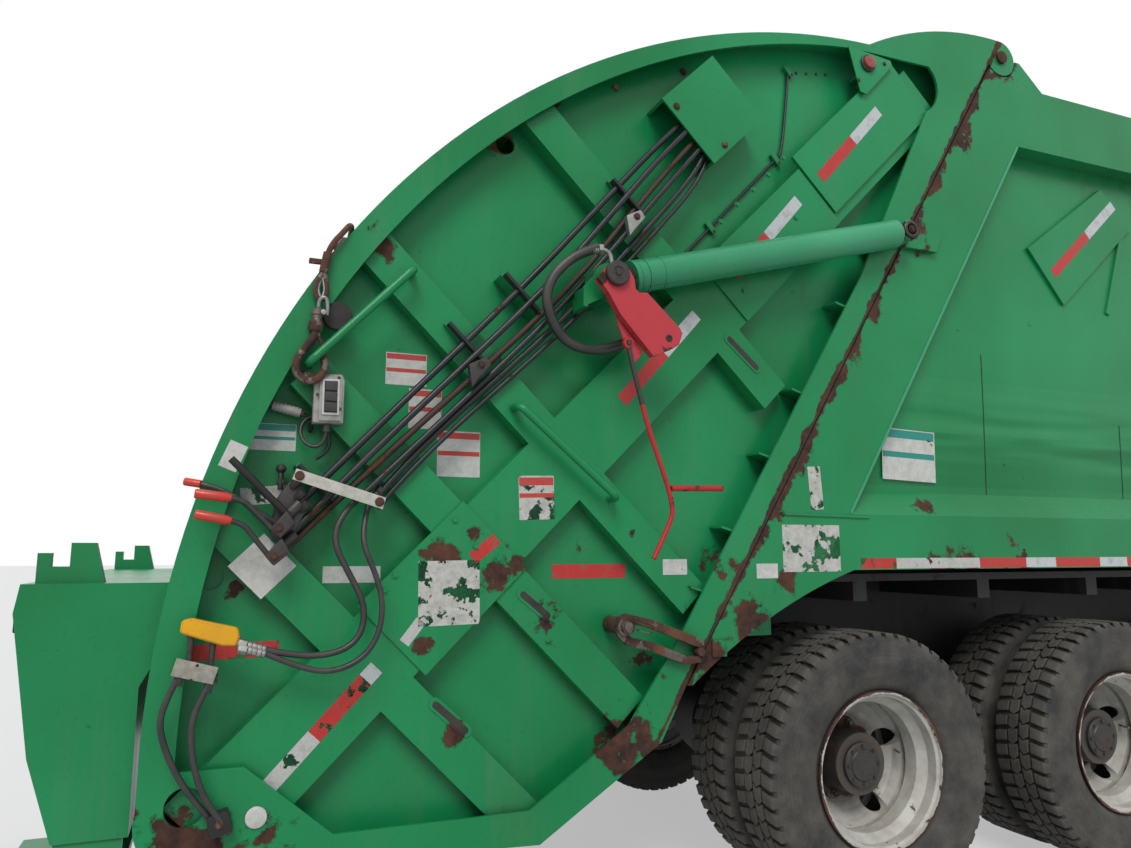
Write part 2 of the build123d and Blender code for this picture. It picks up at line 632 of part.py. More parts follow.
def bolster_side():
    """The slanting rear column with its wheel-arch foot and hinge ear, left-hand side."""
    foot = [
        Line((seam_x(880, SEAM_GAP), 880), (seam_x(HINGE_Z, SEAM_GAP), HINGE_Z)),
        Line((seam_x(HINGE_Z, SEAM_GAP), HINGE_Z), (1080, HINGE_Z)),
        Line((1080, HINGE_Z), (bolster_front_x(BODY_TOP), BODY_TOP)),
        Line((bolster_front_x(BODY_TOP), BODY_TOP), (bolster_front_x(SIDE_RAIL_TOP), SIDE_RAIL_TOP)),
        Line((bolster_front_x(SIDE_RAIL_TOP), SIDE_RAIL_TOP), (bolster_front_x(SIDE_RAIL_TOP), SIDE_RAIL_BOTTOM)),
        ThreePointArc((bolster_front_x(SIDE_RAIL_TOP), SIDE_RAIL_BOTTOM), (-400, 1142),
                      (seam_x(880, SEAM_GAP) + 20, 880)),
        Line((seam_x(880, SEAM_GAP) + 20, 880), (seam_x(880, SEAM_GAP), 880)),
    ]
    column = slab(make_face(foot), WALL_INNER_Y, HALF_WIDTH)
    swept = EAR_RADIUS + EAR_GAP
    ear_low, ear_high = HALF_WIDTH - 94, HALF_WIDTH - 66
    column -= round_y(HINGE_X, HINGE_Z, swept, WALL_INNER_Y - 1, ear_low)
    column -= round_y(HINGE_X, HINGE_Z, swept, ear_high, HALF_WIDTH + 1)
    column += round_y(HINGE_X, HINGE_Z, EAR_RADIUS, ear_low, ear_high)
    column += round_y(HINGE_X, HINGE_Z, HINGE_PIN_RADIUS, WALL_INNER_Y, HALF_WIDTH + 14)
    base_x, base_z = LIFT_BASE
    column += round_y(base_x, base_z, LIFT_PIN_RADIUS, HALF_WIDTH + LIFT_CLEAR, LIFT_Y + 45)
    lug = round_y(base_x, base_z, LIFT_LUG_RADIUS, HALF_WIDTH + LIFT_CLEAR, HALF_WIDTH + LIFT_CLEAR + 20)
    lug_x = seam_x(base_z, SEAM_GAP)
    arm = outline((base_x, base_z - 45), (lug_x + 150, base_z - 45), (lug_x + 190, base_z + 60), (base_x, base_z + 45))
    column += lug + slab(arm, HALF_WIDTH + LIFT_CLEAR, HALF_WIDTH + LIFT_CLEAR + 20)
    column += block(lug_x + 40, lug_x + 150, HALF_WIDTH - 5, HALF_WIDTH + LIFT_CLEAR + 5, base_z - 45, base_z + 45)
    hook_x = seam_x(1035, SEAM_GAP) + 4
    hook = block(hook_x, hook_x + 60, HALF_WIDTH - 10, HALF_WIDTH + 8, 975, 1035)
    return column + hook


def body_bolster():
    """The rear frame of the body: two columns, a header over the opening and a sill beam."""
    header = outline((bolster_front_x(BODY_TOP) - 160, BODY_TOP), (bolster_front_x(BODY_TOP), BODY_TOP),
                     (bolster_front_x(BODY_TOP - HEADER_HEIGHT), BODY_TOP - HEADER_HEIGHT),
                     (bolster_front_x(BODY_TOP - HEADER_HEIGHT) - 110, BODY_TOP - HEADER_HEIGHT))
    sill_top = BODY_FLOOR_TOP - FLOOR_PLATE
    sill = outline((seam_x(1030, SEAM_GAP), 1030), (seam_x(sill_top, SEAM_GAP), sill_top),
                   (-382, sill_top), (-382, 1030))
    return fused([slab(header, -WALL_INNER_Y, WALL_INNER_Y), slab(sill, -WALL_INNER_Y, WALL_INNER_Y),
                  *both(bolster_side())])


def ejector_panel():
    """The push-out wall that empties the body: a hollow wedge the height of the load space."""
    bottom, top = BODY_FLOOR_TOP + RUNNING_GAP, BODY_TOP - HEADER_HEIGHT - 8
    back = BODY_FRONT - 60
    wedge = outline((back, bottom), (back - 800, bottom), (back - 800, bottom + 500), (back - 110, top), (back, top))
    hollow = offset(wedge, -25)
    half = WALL_INNER_Y - 12
    return slab(wedge, -half, half) - slab(hollow, -half + 20, half - 20)


save("body_floor", body_floor())
for side, shape in zip(("left", "right"), both(body_side())):
    save(f"body_side_{side}", shape)
save("body_roof_and_front", body_roof())
save("body_bolster", body_bolster())
save("ejector_panel", ejector_panel())


# Tailgate


def tailgate_outline():
    """The side view of the tailgate: hinge ear, hump, round back, foot and slanting front edge."""
    hump = on_circle(ARC_X, ARC_Z, ARC_RADIUS, 92)
    ear_top = (HINGE_X, HINGE_Z + EAR_RADIUS)
    back_low = on_circle(ARC_X, ARC_Z, ARC_RADIUS, 180)
    gap_from_hinge = (HINGE_X - seam_x(HINGE_Z)) / SEAM_NORMAL
    half_chord = sqrt(EAR_RADIUS ** 2 - gap_from_hinge ** 2)
    along = (cos(radians(SEAM_ANGLE)), sin(radians(SEAM_ANGLE)))
    ear_low = (HINGE_X - gap_from_hinge * along[1] - half_chord * along[0],
               HINGE_Z + gap_from_hinge * along[0] - half_chord * along[1])
    edges = [
        ThreePointArc(hump, (590, 3752), ear_top),
        ThreePointArc(ear_top, (HINGE_X + EAR_RADIUS, HINGE_Z), ear_low),
        Line(ear_low, (SEAM_X, SEAM_Z)),
        Line((SEAM_X, SEAM_Z), (-935, 695)),
        Line((-935, 695), (-1385, 412)),
        Line((-1385, 412), (-2470, 455)),
        ThreePointArc((-2470, 455), (-2558, 520), (-2579, 640)),
        Line((-2579, 640), back_low),
        ThreePointArc(back_low, on_circle(ARC_X, ARC_Z, ARC_RADIUS, 136), hump),
    ]
    return make_face(edges)


def recess_outline():
    """The field inside the tailgate's edge flange, where the side plate lies deeper."""
    inner = ARC_RADIUS - 92
    upper, middle = on_circle(ARC_X, ARC_Z, inner + 57, 94.1), on_circle(ARC_X, ARC_Z, inner + 6, 158.4)
    edges = [
        Line((-2486, 735), (-2300, 735)),
        Line((-2300, 735), (-2040, 520)),
        Line((-2040, 520), (-1420, 520)),
        Line((-1420, 520), (-1060, 760)),
        Line((-1060, 760), (seam_x(1060, -100), 1060)),
        Line((seam_x(1060, -100), 1060), (seam_x(2500, -100), 2500)),
        Line((seam_x(2500, -100), 2500), (470, 3330)),
        ThreePointArc((470, 3330), (545, 3440), (500, 3555)),
        Line((500, 3555), upper),
        ThreePointArc(upper, on_circle(ARC_X, ARC_Z, inner + 12, 123.4), middle),
        ThreePointArc(middle, on_circle(ARC_X, ARC_Z, inner, 168), (-2486, 735)),
    ]
    return make_face(edges)


RIBS = (
    # p_low, p_high, q_low, q_high: boxes across the diagonal, from the hinge down
    (1040, 1182, -3100, -1660),
    (215, 350, -3100, -1380),
    (-242, -100, -2900, -1300),
    (-740, -600, -2900, -1300),
)
BOX_Q = (-2225, -1955)
BOX_P = (-1330, 2760)
GUSSET_HEIGHTS = (1180, 1400, 1686, 1950, 2333, 2640)


def tailgate_side():
    """The left side of the tailgate as one weldment: plate, edge flange, ribs, box and track bars."""
    whole = tailgate_outline()
    plate_y = SIDE_INNER_Y + SIDE_PLATE
    field = offset(whole, -SIDE_PLATE)
    side = slab(whole, SIDE_INNER_Y, plate_y)
    side += slab(whole - recess_outline(), HALF_WIDTH - SIDE_PLATE, HALF_WIDTH)
    side += slab(whole - field, plate_y, HALF_WIDTH - SIDE_PLATE)
    boxes = fused([diagonal(*rib) for rib in RIBS] + [diagonal(*BOX_P, *BOX_Q)]) & field
    side += slab(boxes, plate_y, RIB_Y)
    cover = diagonal(-570, -95, BOX_Q[0] - 20, BOX_Q[1] + 25) + diagonal(1235, 1915, BOX_Q[0] - 20, BOX_Q[1])
    side += slab(cover, RIB_Y, RIB_Y + COVER_PLATE)
    side += slab(diagonal(1921, 2700, -2300, -2000) & field, RIB_Y, RIB_Y + 2 * COVER_PLATE)
    for z in GUSSET_HEIGHTS:
        x = seam_x(z, -SIDE_PLATE / 2)
        gusset = outline((x, z), (x - 137, z + 40), (x - 137, z + 48), (x + 4, z + 8))
        side += slab(gusset, plate_y, HALF_WIDTH - SIDE_PLATE)
    swept = EAR_RADIUS + EAR_GAP
    side += round_y(HINGE_X, HINGE_Z, EAR_RADIUS, HALF_WIDTH - 58, HALF_WIDTH)
    side -= round_y(HINGE_X, HINGE_Z, swept, plate_y, HALF_WIDTH - 58)
    side -= round_y(HINGE_X, HINGE_Z, HINGE_PIN_RADIUS + RUNNING_GAP, SIDE_INNER_Y - 1, HALF_WIDTH + 1)
    for q_middle in (TRACK_Q - 85, TRACK_Q + 85):
        bar_face = diagonal(-260, 2080, q_middle - 10, q_middle + 10)
        side += slab(bar_face, SIDE_INNER_Y - TRACK_BAR, SIDE_INNER_Y)
    side -= round_y(-2453, 638, 55, HALF_WIDTH - 20, HALF_WIDTH + 1)
    for x, z, radius in ((-2424, 1278, 40), (-1497, 2850, 36)):
        side -= round_y(x, z, radius, SIDE_INNER_Y - 1, plate_y + 1)
    return side + lift_lug()


def lift_lug():
    """The two-cheeked bracket that carries a lift cylinder's rod eye, left-hand side."""
    x, z = LIFT_EYE
    eye_y = LIFT_Y - 25
    inner = round_y(x, z, 62, RIB_Y - 75, eye_y - 6)
    outer = round_y(x, z, 58, LIFT_Y + 32, LIFT_Y + 44)
    reach = outline((x - 50, z + 20), (x - 100, z - 40), (x - 100, z - 110), (x + 10, z - 55))
    lug = inner + outer + slab(reach, LIFT_Y + 32, LIFT_Y + 44)
    lug += block(x - 100, x - 83, SIDE_INNER_Y + SIDE_PLATE, LIFT_Y + 44, z - 110, z - 40)
    return lug + round_y(x, z, 24, LIFT_Y + 44, LIFT_Y + 100)


def pipe_cover():
    """The open-ended box over the top of the pipes, right-hand side only."""
    shell = diagonal(1545, 1873, -2825, -2503)
    inside = diagonal(1500, 1861, -2813, -2515)
    seat = SIDE_INNER_Y + SIDE_PLATE
    return right(slab(shell, seat, HALF_WIDTH + 32) - slab(inside, seat, HALF_WIDTH + 24))


def tailgate_roof():
    """The round back sheet between the sides with its torque tube and mouth beam."""
    outer, inner = ARC_RADIUS - 2, ARC_RADIUS - 17
    start, stop = 92, BACK_OPENING_ANGLE
    middle = (start + stop) / 2
    top_front = (835, 3668)
    edges = [
        ThreePointArc(*[on_circle(ARC_X, ARC_Z, outer, a) for a in (start, middle, stop)]),
        Line(on_circle(ARC_X, ARC_Z, outer, stop), on_circle(ARC_X, ARC_Z, inner, stop)),
        ThreePointArc(*[on_circle(ARC_X, ARC_Z, inner, a) for a in (stop, middle, start)]),
        Line(on_circle(ARC_X, ARC_Z, inner, start), (top_front[0], top_front[1] - 15)),
        Line((top_front[0], top_front[1] - 15), top_front),
        Line(top_front, on_circle(ARC_X, ARC_Z, outer, start)),
    ]
    sheet = slab(make_face(edges), -SIDE_INNER_Y, SIDE_INNER_Y)
    tube = round_y(700, 3590, 62, -SIDE_INNER_Y, SIDE_INNER_Y)
    mouth_x, mouth_z = on_circle(ARC_X, ARC_Z, inner - 55, stop - 1)
    beam = slab(Pos(mouth_x, mouth_z) * Rot(0, 0, stop) * Rectangle(120, 120), -SIDE_INNER_Y, SIDE_INNER_Y)
    ribs = []
    for angle in (104, 116, 128, 140):
        hoop_x, hoop_z = on_circle(ARC_X, ARC_Z, inner - 28, angle)
        hoop = slab(Pos(hoop_x, hoop_z) * Rot(0, 0, angle) * Rectangle(60, 70), -SIDE_INNER_Y, SIDE_INNER_Y)
        ribs.append(hoop)
    return fused([sheet, tube, beam, *ribs])


def hopper_trough():
    """The curved hopper floor and the straight ramp up to the body, with cross stiffeners."""
    cx, cz = pq(PIVOT_LOW_P, TRACK_Q)
    inner, outer = HOPPER_RADIUS, HOPPER_RADIUS + SIDE_PLATE
    ramp_z = BODY_FLOOR_TOP - 10
    ramp_in = (ramp_z + (TRACK_Q + inner) * ROOT2, ramp_z)
    ramp_out = (seam_x(ramp_z - 34, -4), ramp_z - 34)
    ramp_top = (seam_x(ramp_z, -4), ramp_z)
    tangent_out = on_circle(cx, cz, outer, -45)
    step = (ramp_out[0] - ramp_out[1]) - (tangent_out[0] - tangent_out[1])
    edges = [
        ThreePointArc(*[on_circle(cx, cz, inner, a) for a in (181, 248, 315)]),
        Line(on_circle(cx, cz, inner, 315), ramp_in),
        Line(ramp_in, ramp_top),
        Line(ramp_top, ramp_out),
        Line(ramp_out, (ramp_out[0] - step, ramp_out[1])),
        Line((ramp_out[0] - step, ramp_out[1]), tangent_out),
        ThreePointArc(*[on_circle(cx, cz, outer, a) for a in (315, 248, 181)]),
        Line(on_circle(cx, cz, outer, 181), on_circle(cx, cz, inner, 181)),
    ]
    trough = slab(make_face(edges), -SIDE_INNER_Y, SIDE_INNER_Y)
    stiffeners = []
    for angle in (225, 262, 295):
        x, z = on_circle(cx, cz, outer + 22, angle)
        face = Pos(x, z) * Rot(0, 0, angle) * Rectangle(50, 90)
        stiffeners.append(slab(face, -SIDE_INNER_Y, SIDE_INNER_Y))
    return fused([trough, *stiffeners])


def hopper_sill():
    """The hollow loading sill across the rear, with its end hooks and two riding steps."""
    back, front = HOPPER_REAR + 145, HOPPER_REAR + 335
    shell = outline((HOPPER_EDGE_X, 1262), (HOPPER_REAR + 12, 1262), (HOPPER_REAR, 1180), (HOPPER_REAR + 65, 780),
                    (HOPPER_REAR + 140, 545), (front, 545), (front, 960), (HOPPER_EDGE_X, 1200))
    width = SIDE_INNER_Y
    sill = slab(shell, -width, width) - slab(offset(shell, -SIDE_PLATE), -width + 12, width - 12)
    hook = outline((HOPPER_REAR + 40, 1262), (HOPPER_REAR + 40, 1350), (HOPPER_REAR + 75, 1350),
                   (HOPPER_REAR + 75, 1310), (HOPPER_REAR + 125, 1310), (HOPPER_REAR + 125, 1380),
                   (HOPPER_REAR + 190, 1380), (HOPPER_REAR + 220, 1262))
    step = block(HOPPER_REAR + 10, front - 10, 640, width, 430, 455)
    for y_low in (660, width - 28):
        step += block(back, front - 15, y_low, y_low + 20, 430, 560)
    return fused([sill, *both(slab(hook, width - 88, width - 48)), *both(step)])


def grab_rails():
    """Bent hand rails on the side: one at the rear, one by the ribs."""
    y, plate_y = HALF_WIDTH + 40, SIDE_INNER_Y + SIDE_PLATE
    upper = bent_bar([(-1850, RIB_Y, 2285), (-1850, y, 2285), (-2171, y, 1940), (-2171, HALF_WIDTH - 8, 1940)], 14, 25)
    lower = bent_bar([(-1478, plate_y, 1847), (-1478, y, 1847), (-1113, y, 1539), (-1113, plate_y, 1539)], 14, 30)
    return upper, lower


def sill_face_x(z):
    """x of the sill's slanting rear face at height z."""
    return HOPPER_REAR + 65 * (1180 - z) / 400


def tail_lamps():
    """Two lamp clusters under the sill, and the side marker on its bracket at the top of each side."""
    low, high = sill_face_x(830), sill_face_x(930)
    cluster = slab(outline((low - 25, 830), (low, 830), (high, 930), (high - 25, 930)), 700, 930)
    bracket = outline((39, 3548), (92, 3345), (272, 3529))
    marker = slab(bracket, HALF_WIDTH, HALF_WIDTH + 6)
    marker += round_y(139, 3484, 42, HALF_WIDTH + 6, HALF_WIDTH + 34)
    marker_base = block(120, 160, SIDE_INNER_Y + SIDE_PLATE, HALF_WIDTH, 3440, 3460)
    return *both(cluster), *both(marker + marker_base)


save("tailgate_side_left", tailgate_side())
save("tailgate_side_right", fused([right(tailgate_side()), pipe_cover(), *[right(rail) for rail in grab_rails()]]))
save("tailgate_roof", tailgate_roof())
save("hopper_trough", hopper_trough())
save("hopper_sill", hopper_sill())
save("tail_lamps", *tail_lamps())


def pipe_points(row):
    """One pipe's route down the right-hand side, from under the cover to the valve at the rear."""
    drop = row * 34
    y = -(RIB_Y + 20 + (row % 2) * 20)
    upper = pq(1560, -2560 - drop)
    bend = pq(1180, -2560 - drop)
    lower = pq(-520 + 2 * drop, -2545 - drop * 0.8)
    return [(upper[0], y, upper[1]), (bend[0], y, bend[1]), (lower[0], y, lower[1])]


def pipe_run():
    """The hydraulic pipes on the tailgate's right side with their clamps and the hoses at the rear."""
    pipes = [bent_bar(pipe_points(row), 9.5, 120) for row in range(5)]
    clamps = []
    plate_y = SIDE_INNER_Y + SIDE_PLATE
    for p, seat_y in ((1150, RIB_Y), (560, plate_y), (280, RIB_Y), (-400, plate_y)):
        face = diagonal(p - 22, p + 22, -2560 - 165, -2530)
        clamps.append(slab(face, -(RIB_Y + 54), -seat_y))
    y = -(HALF_WIDTH + 45)
    routes = (
        [(-2054, y, 1509), (-1990, y, 1240), (-2060, y, 1094), (-2310, y, 1089)],
        [(-2513, y, 972), (-2535, y, 840), (-2440, y, 674), (-2302, y, 532)],
        [(-2416, y, 939), (-2450, y, 833), (-2371, y, 614), (-2302, y + 28, 532)],
    )
    hoses = [bent_bar(route, 14, 60) for route in routes]
    valve = block(-2492, -2310, y - 30, -HALF_WIDTH, 1062, 1160)
    bracket = block(-2510, -2387, y - 20, -HALF_WIDTH, 960, 1050)
    anchor = block(-2345, -2265, y - 20, -HALF_WIDTH, 505, 560)
    return fused([*pipes, *clamps]), fused([*hoses, valve, bracket, anchor])


def control_levers():
    """The three packer levers by the mouth with their pivot bar."""
    y = HALF_WIDTH + 62
    pivot = block(-2400, -2262, RIB_Y, y, 1380, 1420)
    levers = []
    for number, (tip_z, foot_z) in enumerate(((1520, 1420), (1455, 1385))):
        lever = bent_bar([(-2270 + 14 * number, y, foot_z - 14), (-2365, y, tip_z - 14), (-2478, y, tip_z)], 15, 30)
        levers.append(lever)
    plate_y = SIDE_INNER_Y + SIDE_PLATE
    guard = bent_bar([(-2256, plate_y, 1490), (-2256, y, 1490), (-2382, y, 1625), (-2382, HALF_WIDTH, 1625)], 16, 28)
    whole = fused([pivot, *levers])
    whole += block(-2290, -2262, RIB_Y, y, 1370, 1425)
    return right(whole), right(guard)


def tailgate_latches():
    """The two strap clamps that hold the tailgate shut, outside the body's hooks."""
    y_low, y_high = HALF_WIDTH, HALF_WIDTH + 34
    strap = outline((-1129, 1094), (-1064, 1146), (-776, 1042), (-790, 1006), (-1060, 1096), (-1095, 1060))
    latch = slab(strap, y_low + 14, y_high)
    latch += round_y(-1085, 1096, 34, SIDE_INNER_Y + SIDE_PLATE, y_high + 14)
    latch += round_y(-1085, 1096, 16, y_low, y_high + 34)
    return both(latch)


def winch_hook():
    """The winch drum by the mouth beam, its cable over the right edge and the hook parked on the side."""
    y = -(HALF_WIDTH + 22)
    cable = bent_bar([(-2155, y, 2290), (-2125, y, 2120), (-2169, y, 1974)], 8, 60)
    saddle = block(-2185, -2125, y - 16, -HALF_WIDTH, 2270, 2310)
    ring = Pos(-2169, y + 10, 1940) * Rot(90, 0, 0) * Torus(34, 9)
    keeper = block(-2187, -2151, y - 4, -RIB_Y, 1890, 1912)
    return fused([cable, saddle, ring, keeper])


save("pipe_run", *pipe_run())
save("control_levers", *control_levers())
save("tailgate_latches", *tailgate_latches())
save("winch_hook", winch_hook())


# Packer: a carriage that slides along the diagonal, and a blade that swings from its lower end


def track_point(along, across):
    """A place measured from the blade's pivot, as (x, z). across is positive towards the body."""
    return pq(PIVOT_P + along, TRACK_Q + across)


def on_track(along_low, along_high, across_low, across_high):
    """A rectangle beside the track, measured from the blade's pivot."""
    return diagonal(PIVOT_P + along_low, PIVOT_P + along_high, TRACK_Q + across_low, TRACK_Q + across_high)


def horn_pin():
    """The sweep rod's pin on the blade, blade closed, along and across the track."""
    return HORN_RADIUS * cos(radians(HORN_ANGLE)), -HORN_RADIUS * sin(radians(HORN_ANGLE))


def packer_carriage():
    """A hollow plate across the tailgate with shoes in the tracks, blade knuckles and cylinder lugs."""
    half = CARRIAGE_THICKNESS / 2
    plate = slab(on_track(90, CARRIAGE_LENGTH, -half, half), -CARRIAGE_HALF_WIDTH, CARRIAGE_HALF_WIDTH)
    hollow = on_track(110, CARRIAGE_LENGTH - 20, -half + 12, half - 12)
    carriage = plate - slab(hollow, -CARRIAGE_HALF_WIDTH + 25, CARRIAGE_HALF_WIDTH - 25)
    px, pz = track_point(0, 0)
    pieces = []
    for along in (150, 1060):
        pieces.append(slab(on_track(along, along + 200, -68, 68), CARRIAGE_HALF_WIDTH, SIDE_INNER_Y - 6))
    for y in (260, 780):
        knuckle_plate = slab(on_track(0, 120, -half, half), y - 35, y + 35) + round_y(px, pz, 55, y - 35, y + 35)
        pieces.append(knuckle_plate - round_y(px, pz, PACKER_PIN_RADIUS + RUNNING_GAP, y - 36, y + 36))
    along, across = SWEEP_BASE
    bx, bz = track_point(along, across)
    for dy in (-66, 66):
        y = SWEEP_CYLINDER_Y + dy
        lug = slab(on_track(along - 50, along + 50, across, -half + 5), y - 8, y + 8)
        pieces.append(lug + round_y(bx, bz, 50, y - 8, y + 8))
    pieces.append(round_y(bx, bz, SWEEP_PIN_RADIUS, SWEEP_CYLINDER_Y - 74, SWEEP_CYLINDER_Y + 74))
    pieces.append(slab(on_track(140, CARRIAGE_LENGTH - 60, half - 5, half + 40), 400, 440))
    side = fused(pieces)
    return fused([carriage, *both(side)])


def packer_blade():
    """The sweeping blade: a hollow curved box with two horns, hung on its pin."""
    px, pz = track_point(0, 0)
    tip = BLADE_LENGTH
    section = [
        Line(track_point(-48, 62), track_point(-40, tip - 60)),
        Line(track_point(-40, tip - 60), track_point(-20, tip)),
        Line(track_point(-20, tip), track_point(6, tip)),
        ThreePointArc(track_point(6, tip), track_point(66, 400), track_point(48, 62)),
        Line(track_point(48, 62), track_point(-48, 62)),
    ]
    face = make_face(section)
    blade = slab(face, -BLADE_HALF_WIDTH, BLADE_HALF_WIDTH)
    blade -= slab(offset(face, -12), -BLADE_HALF_WIDTH + 20, BLADE_HALF_WIDTH - 20)
    pieces = []
    horn_along, horn_across = horn_pin()
    hx, hz = track_point(horn_along, horn_across)
    for y in (170, 350, 690, 870):
        cheek = slab(on_track(-48, 48, 0, 90), y - 18, y + 18) + round_y(px, pz, 48, y - 18, y + 18)
        pieces.append(cheek)
    for dy in (-46, 46):
        y = SWEEP_CYLINDER_Y + dy
        horn = outline(track_point(-60, 100), track_point(30, 90), track_point(40, -10),
                       track_point(horn_along + 30, horn_across - 36), track_point(horn_along - 36, horn_across + 20))
        pieces.append(slab(horn, y - 8, y + 8) + round_y(hx, hz, 38, y - 8, y + 8))
    for low, high in ((152, 368), (672, 888)):
        pieces.append(round_y(px, pz, PACKER_PIN_RADIUS, low, high))
    side = fused(pieces)
    return fused([blade, *both(side)])


def sweep_line():
    """Base and eye of the sweep cylinder, blade closed, as points in x and z."""
    return Vector(*track_point(*SWEEP_BASE)), Vector(*track_point(*horn_pin()))


def sweep_barrel():
    base, eye = sweep_line()
    direction = (eye - base).normalized()
    y = SWEEP_CYLINDER_Y
    start, mouth = base + direction * 60, base + direction * SWEEP_BARREL_LENGTH
    barrel = bar((start.X, y, start.Y), (mouth.X, y, mouth.Y), SWEEP_BARREL_RADIUS)
    barrel += bar((base.X, y, base.Y), (start.X, y, start.Y), 30) + round_y(base.X, base.Y, 44, y - 45, y + 45)
    bottom = base + direction * 100
    barrel -= bar((bottom.X, y, bottom.Y), (mouth.X, y, mouth.Y), SWEEP_ROD_RADIUS + RUNNING_GAP)
    return barrel - round_y(base.X, base.Y, SWEEP_PIN_RADIUS + RUNNING_GAP, y - 46, y + 46)


def sweep_rod():
    base, eye = sweep_line()
    direction = (eye - base).normalized()
    y = SWEEP_CYLINDER_Y
    tail = base + direction * 570
    rod = bar((tail.X, y, tail.Y), (eye.X, y, eye.Y), SWEEP_ROD_RADIUS)
    return rod + round_y(eye.X, eye.Y, 40, y - 30, y + 30)


save("packer_carriage", packer_carriage())
save("packer_blade", packer_blade())
save("sweep_barrels", *both(sweep_barrel()))
save("sweep_rods", *both(sweep_rod()))


# Lift cylinders and the safety prop


def lift_barrel():
    base, eye = Vector(*LIFT_BASE), Vector(*LIFT_EYE)
    direction = (eye - base).normalized()
    y = LIFT_Y
    start, mouth = base + direction * 60, eye - direction * LIFT_BARREL_END
    barrel = bar((start.X, y, start.Y), (mouth.X, y, mouth.Y), LIFT_BARREL_RADIUS)
    barrel += bar((base.X, y, base.Y), (start.X, y, start.Y), 34)
    barrel += round_y(base.X, base.Y, LIFT_LUG_RADIUS, y - 32, y + 32)
    bottom = base + direction * 120
    barrel -= bar((bottom.X, y, bottom.Y), (mouth.X, y, mouth.Y), LIFT_ROD_RADIUS + RUNNING_GAP)
    return barrel - round_y(base.X, base.Y, LIFT_PIN_RADIUS + RUNNING_GAP, y - 40, y + 40)


def lift_rod():
    base, eye = Vector(*LIFT_BASE), Vector(*LIFT_EYE)
    direction = (eye - base).normalized()
    tail = base + direction * LIFT_ROD_TAIL
    rod = bar((tail.X, LIFT_Y, tail.Y), (eye.X, LIFT_Y, eye.Y), LIFT_ROD_RADIUS)
    return rod + round_y(eye.X, eye.Y, 45, LIFT_Y - 25, LIFT_Y + 25)


def safety_prop():
    """The swinging prop that is laid over the rod when the tailgate is up, right-hand side."""
    shape = outline((-1235, 2268), (-1206, 2345), (-1126, 2338), (-928, 2093), (-991, 2014), (-1206, 2030))
    x, z = LIFT_EYE
    prop = slab(shape, PROP_Y, PROP_Y + PROP_THICKNESS)
    prop -= slab(offset(shape, -10), PROP_Y + 12, PROP_Y + PROP_THICKNESS + 1)
    prop += round_y(x, z, 38, PROP_Y, PROP_Y + PROP_THICKNESS)
    prop -= round_y(x, z, LIFT_PIN_RADIUS + RUNNING_GAP, PROP_Y - 1, PROP_Y + PROP_THICKNESS + 1)
    hx, hz = PROP_HANDLE_PIVOT
    prop += round_y(hx, hz, 9, PROP_Y, PROP_Y + PROP_THICKNESS + 22)
    return right(prop)


def prop_handle():
    """The pull rod that hangs from the prop."""
    hx, hz = PROP_HANDLE_PIVOT
    y = PROP_Y + PROP_THICKNESS + 12
    rod = bent_bar([(hx, y, hz), (-1066, y, 1775), (-960, y, 1510), (-1050, y, 1330)], 9, 40)
    rod += bar((-979, y, 1567), (-776, y, 1572), 11)
    rod += round_y(hx, hz, 22, y - 8, y + 8)
    return right(rod - round_y(hx, hz, 9 + RUNNING_GAP, y - 9, y + 9))


save("lift_barrels", *both(lift_barrel()))
save("lift_rods", *both(lift_rod()))
save("safety_prop", safety_prop())
save("prop_handle", prop_handle())


# Cab


def nose_x(z, back=0):
    """x of the cab's raked front at height z, moved back by a thickness."""
    upright = min(z, WAIST)
    return FRONT_AXLE_X + CAB_NOSE - (z - upright) * 0.152 - back


def cab_profile():
    x = FRONT_AXLE_X
    return outline((x + CAB_NOSE, CAB_BOTTOM), (x + CAB_NOSE, WAIST), (nose_x(2620), 2620), (nose_x(2620) - 110, CAB_TOP),
                   (x + CAB_BACK, CAB_TOP), (x + CAB_BACK, 1220), (x + 430, 1220), (x + DOOR_REAR - 20, 950),
                   (x + DOOR_REAR - 20, CAB_BOTTOM))


def door_outline():
    x = FRONT_AXLE_X
    return outline((x + DOOR_REAR, 830), (x + DOOR_FRONT, 830), (x + DOOR_FRONT, WAIST - 40),
                   (nose_x(2480) - 130, 2480), (x + DOOR_REAR, 2480))


def door_window():
    x = FRONT_AXLE_X
    return outline((x + DOOR_REAR + 70, WAIST), (x + DOOR_FRONT - 80, WAIST), (nose_x(2410) - 200, 2410),
                   (x + DOOR_REAR + 70, 2410))


def quarter_window():
    x = FRONT_AXLE_X
    return outline((x - 330, WAIST), (x + DOOR_REAR - 120, WAIST), (x + DOOR_REAR - 120, 2410), (x - 330, 2410))


def hinge_barrels(radius, above):
    """The door hinge's knuckles at both heights: the cab's at the middle, the door's above it."""
    x = FRONT_AXLE_X + DOOR_FRONT
    low = 20 + RUNNING_GAP if above else -20
    return [bar((x, CAB_HALF_WIDTH, z + low), (x, CAB_HALF_WIDTH, z + low + 40), radius) for z in HINGE_HEIGHTS]


def screen_block(inset, low, high, half_width):
    """A sheet parallel to the raked front between two heights."""
    face = outline((nose_x(low, inset), low), (nose_x(high, inset), high),
                   (nose_x(high, inset + GLASS), high), (nose_x(low, inset + GLASS), low))
    return slab(face, -half_width, half_width)


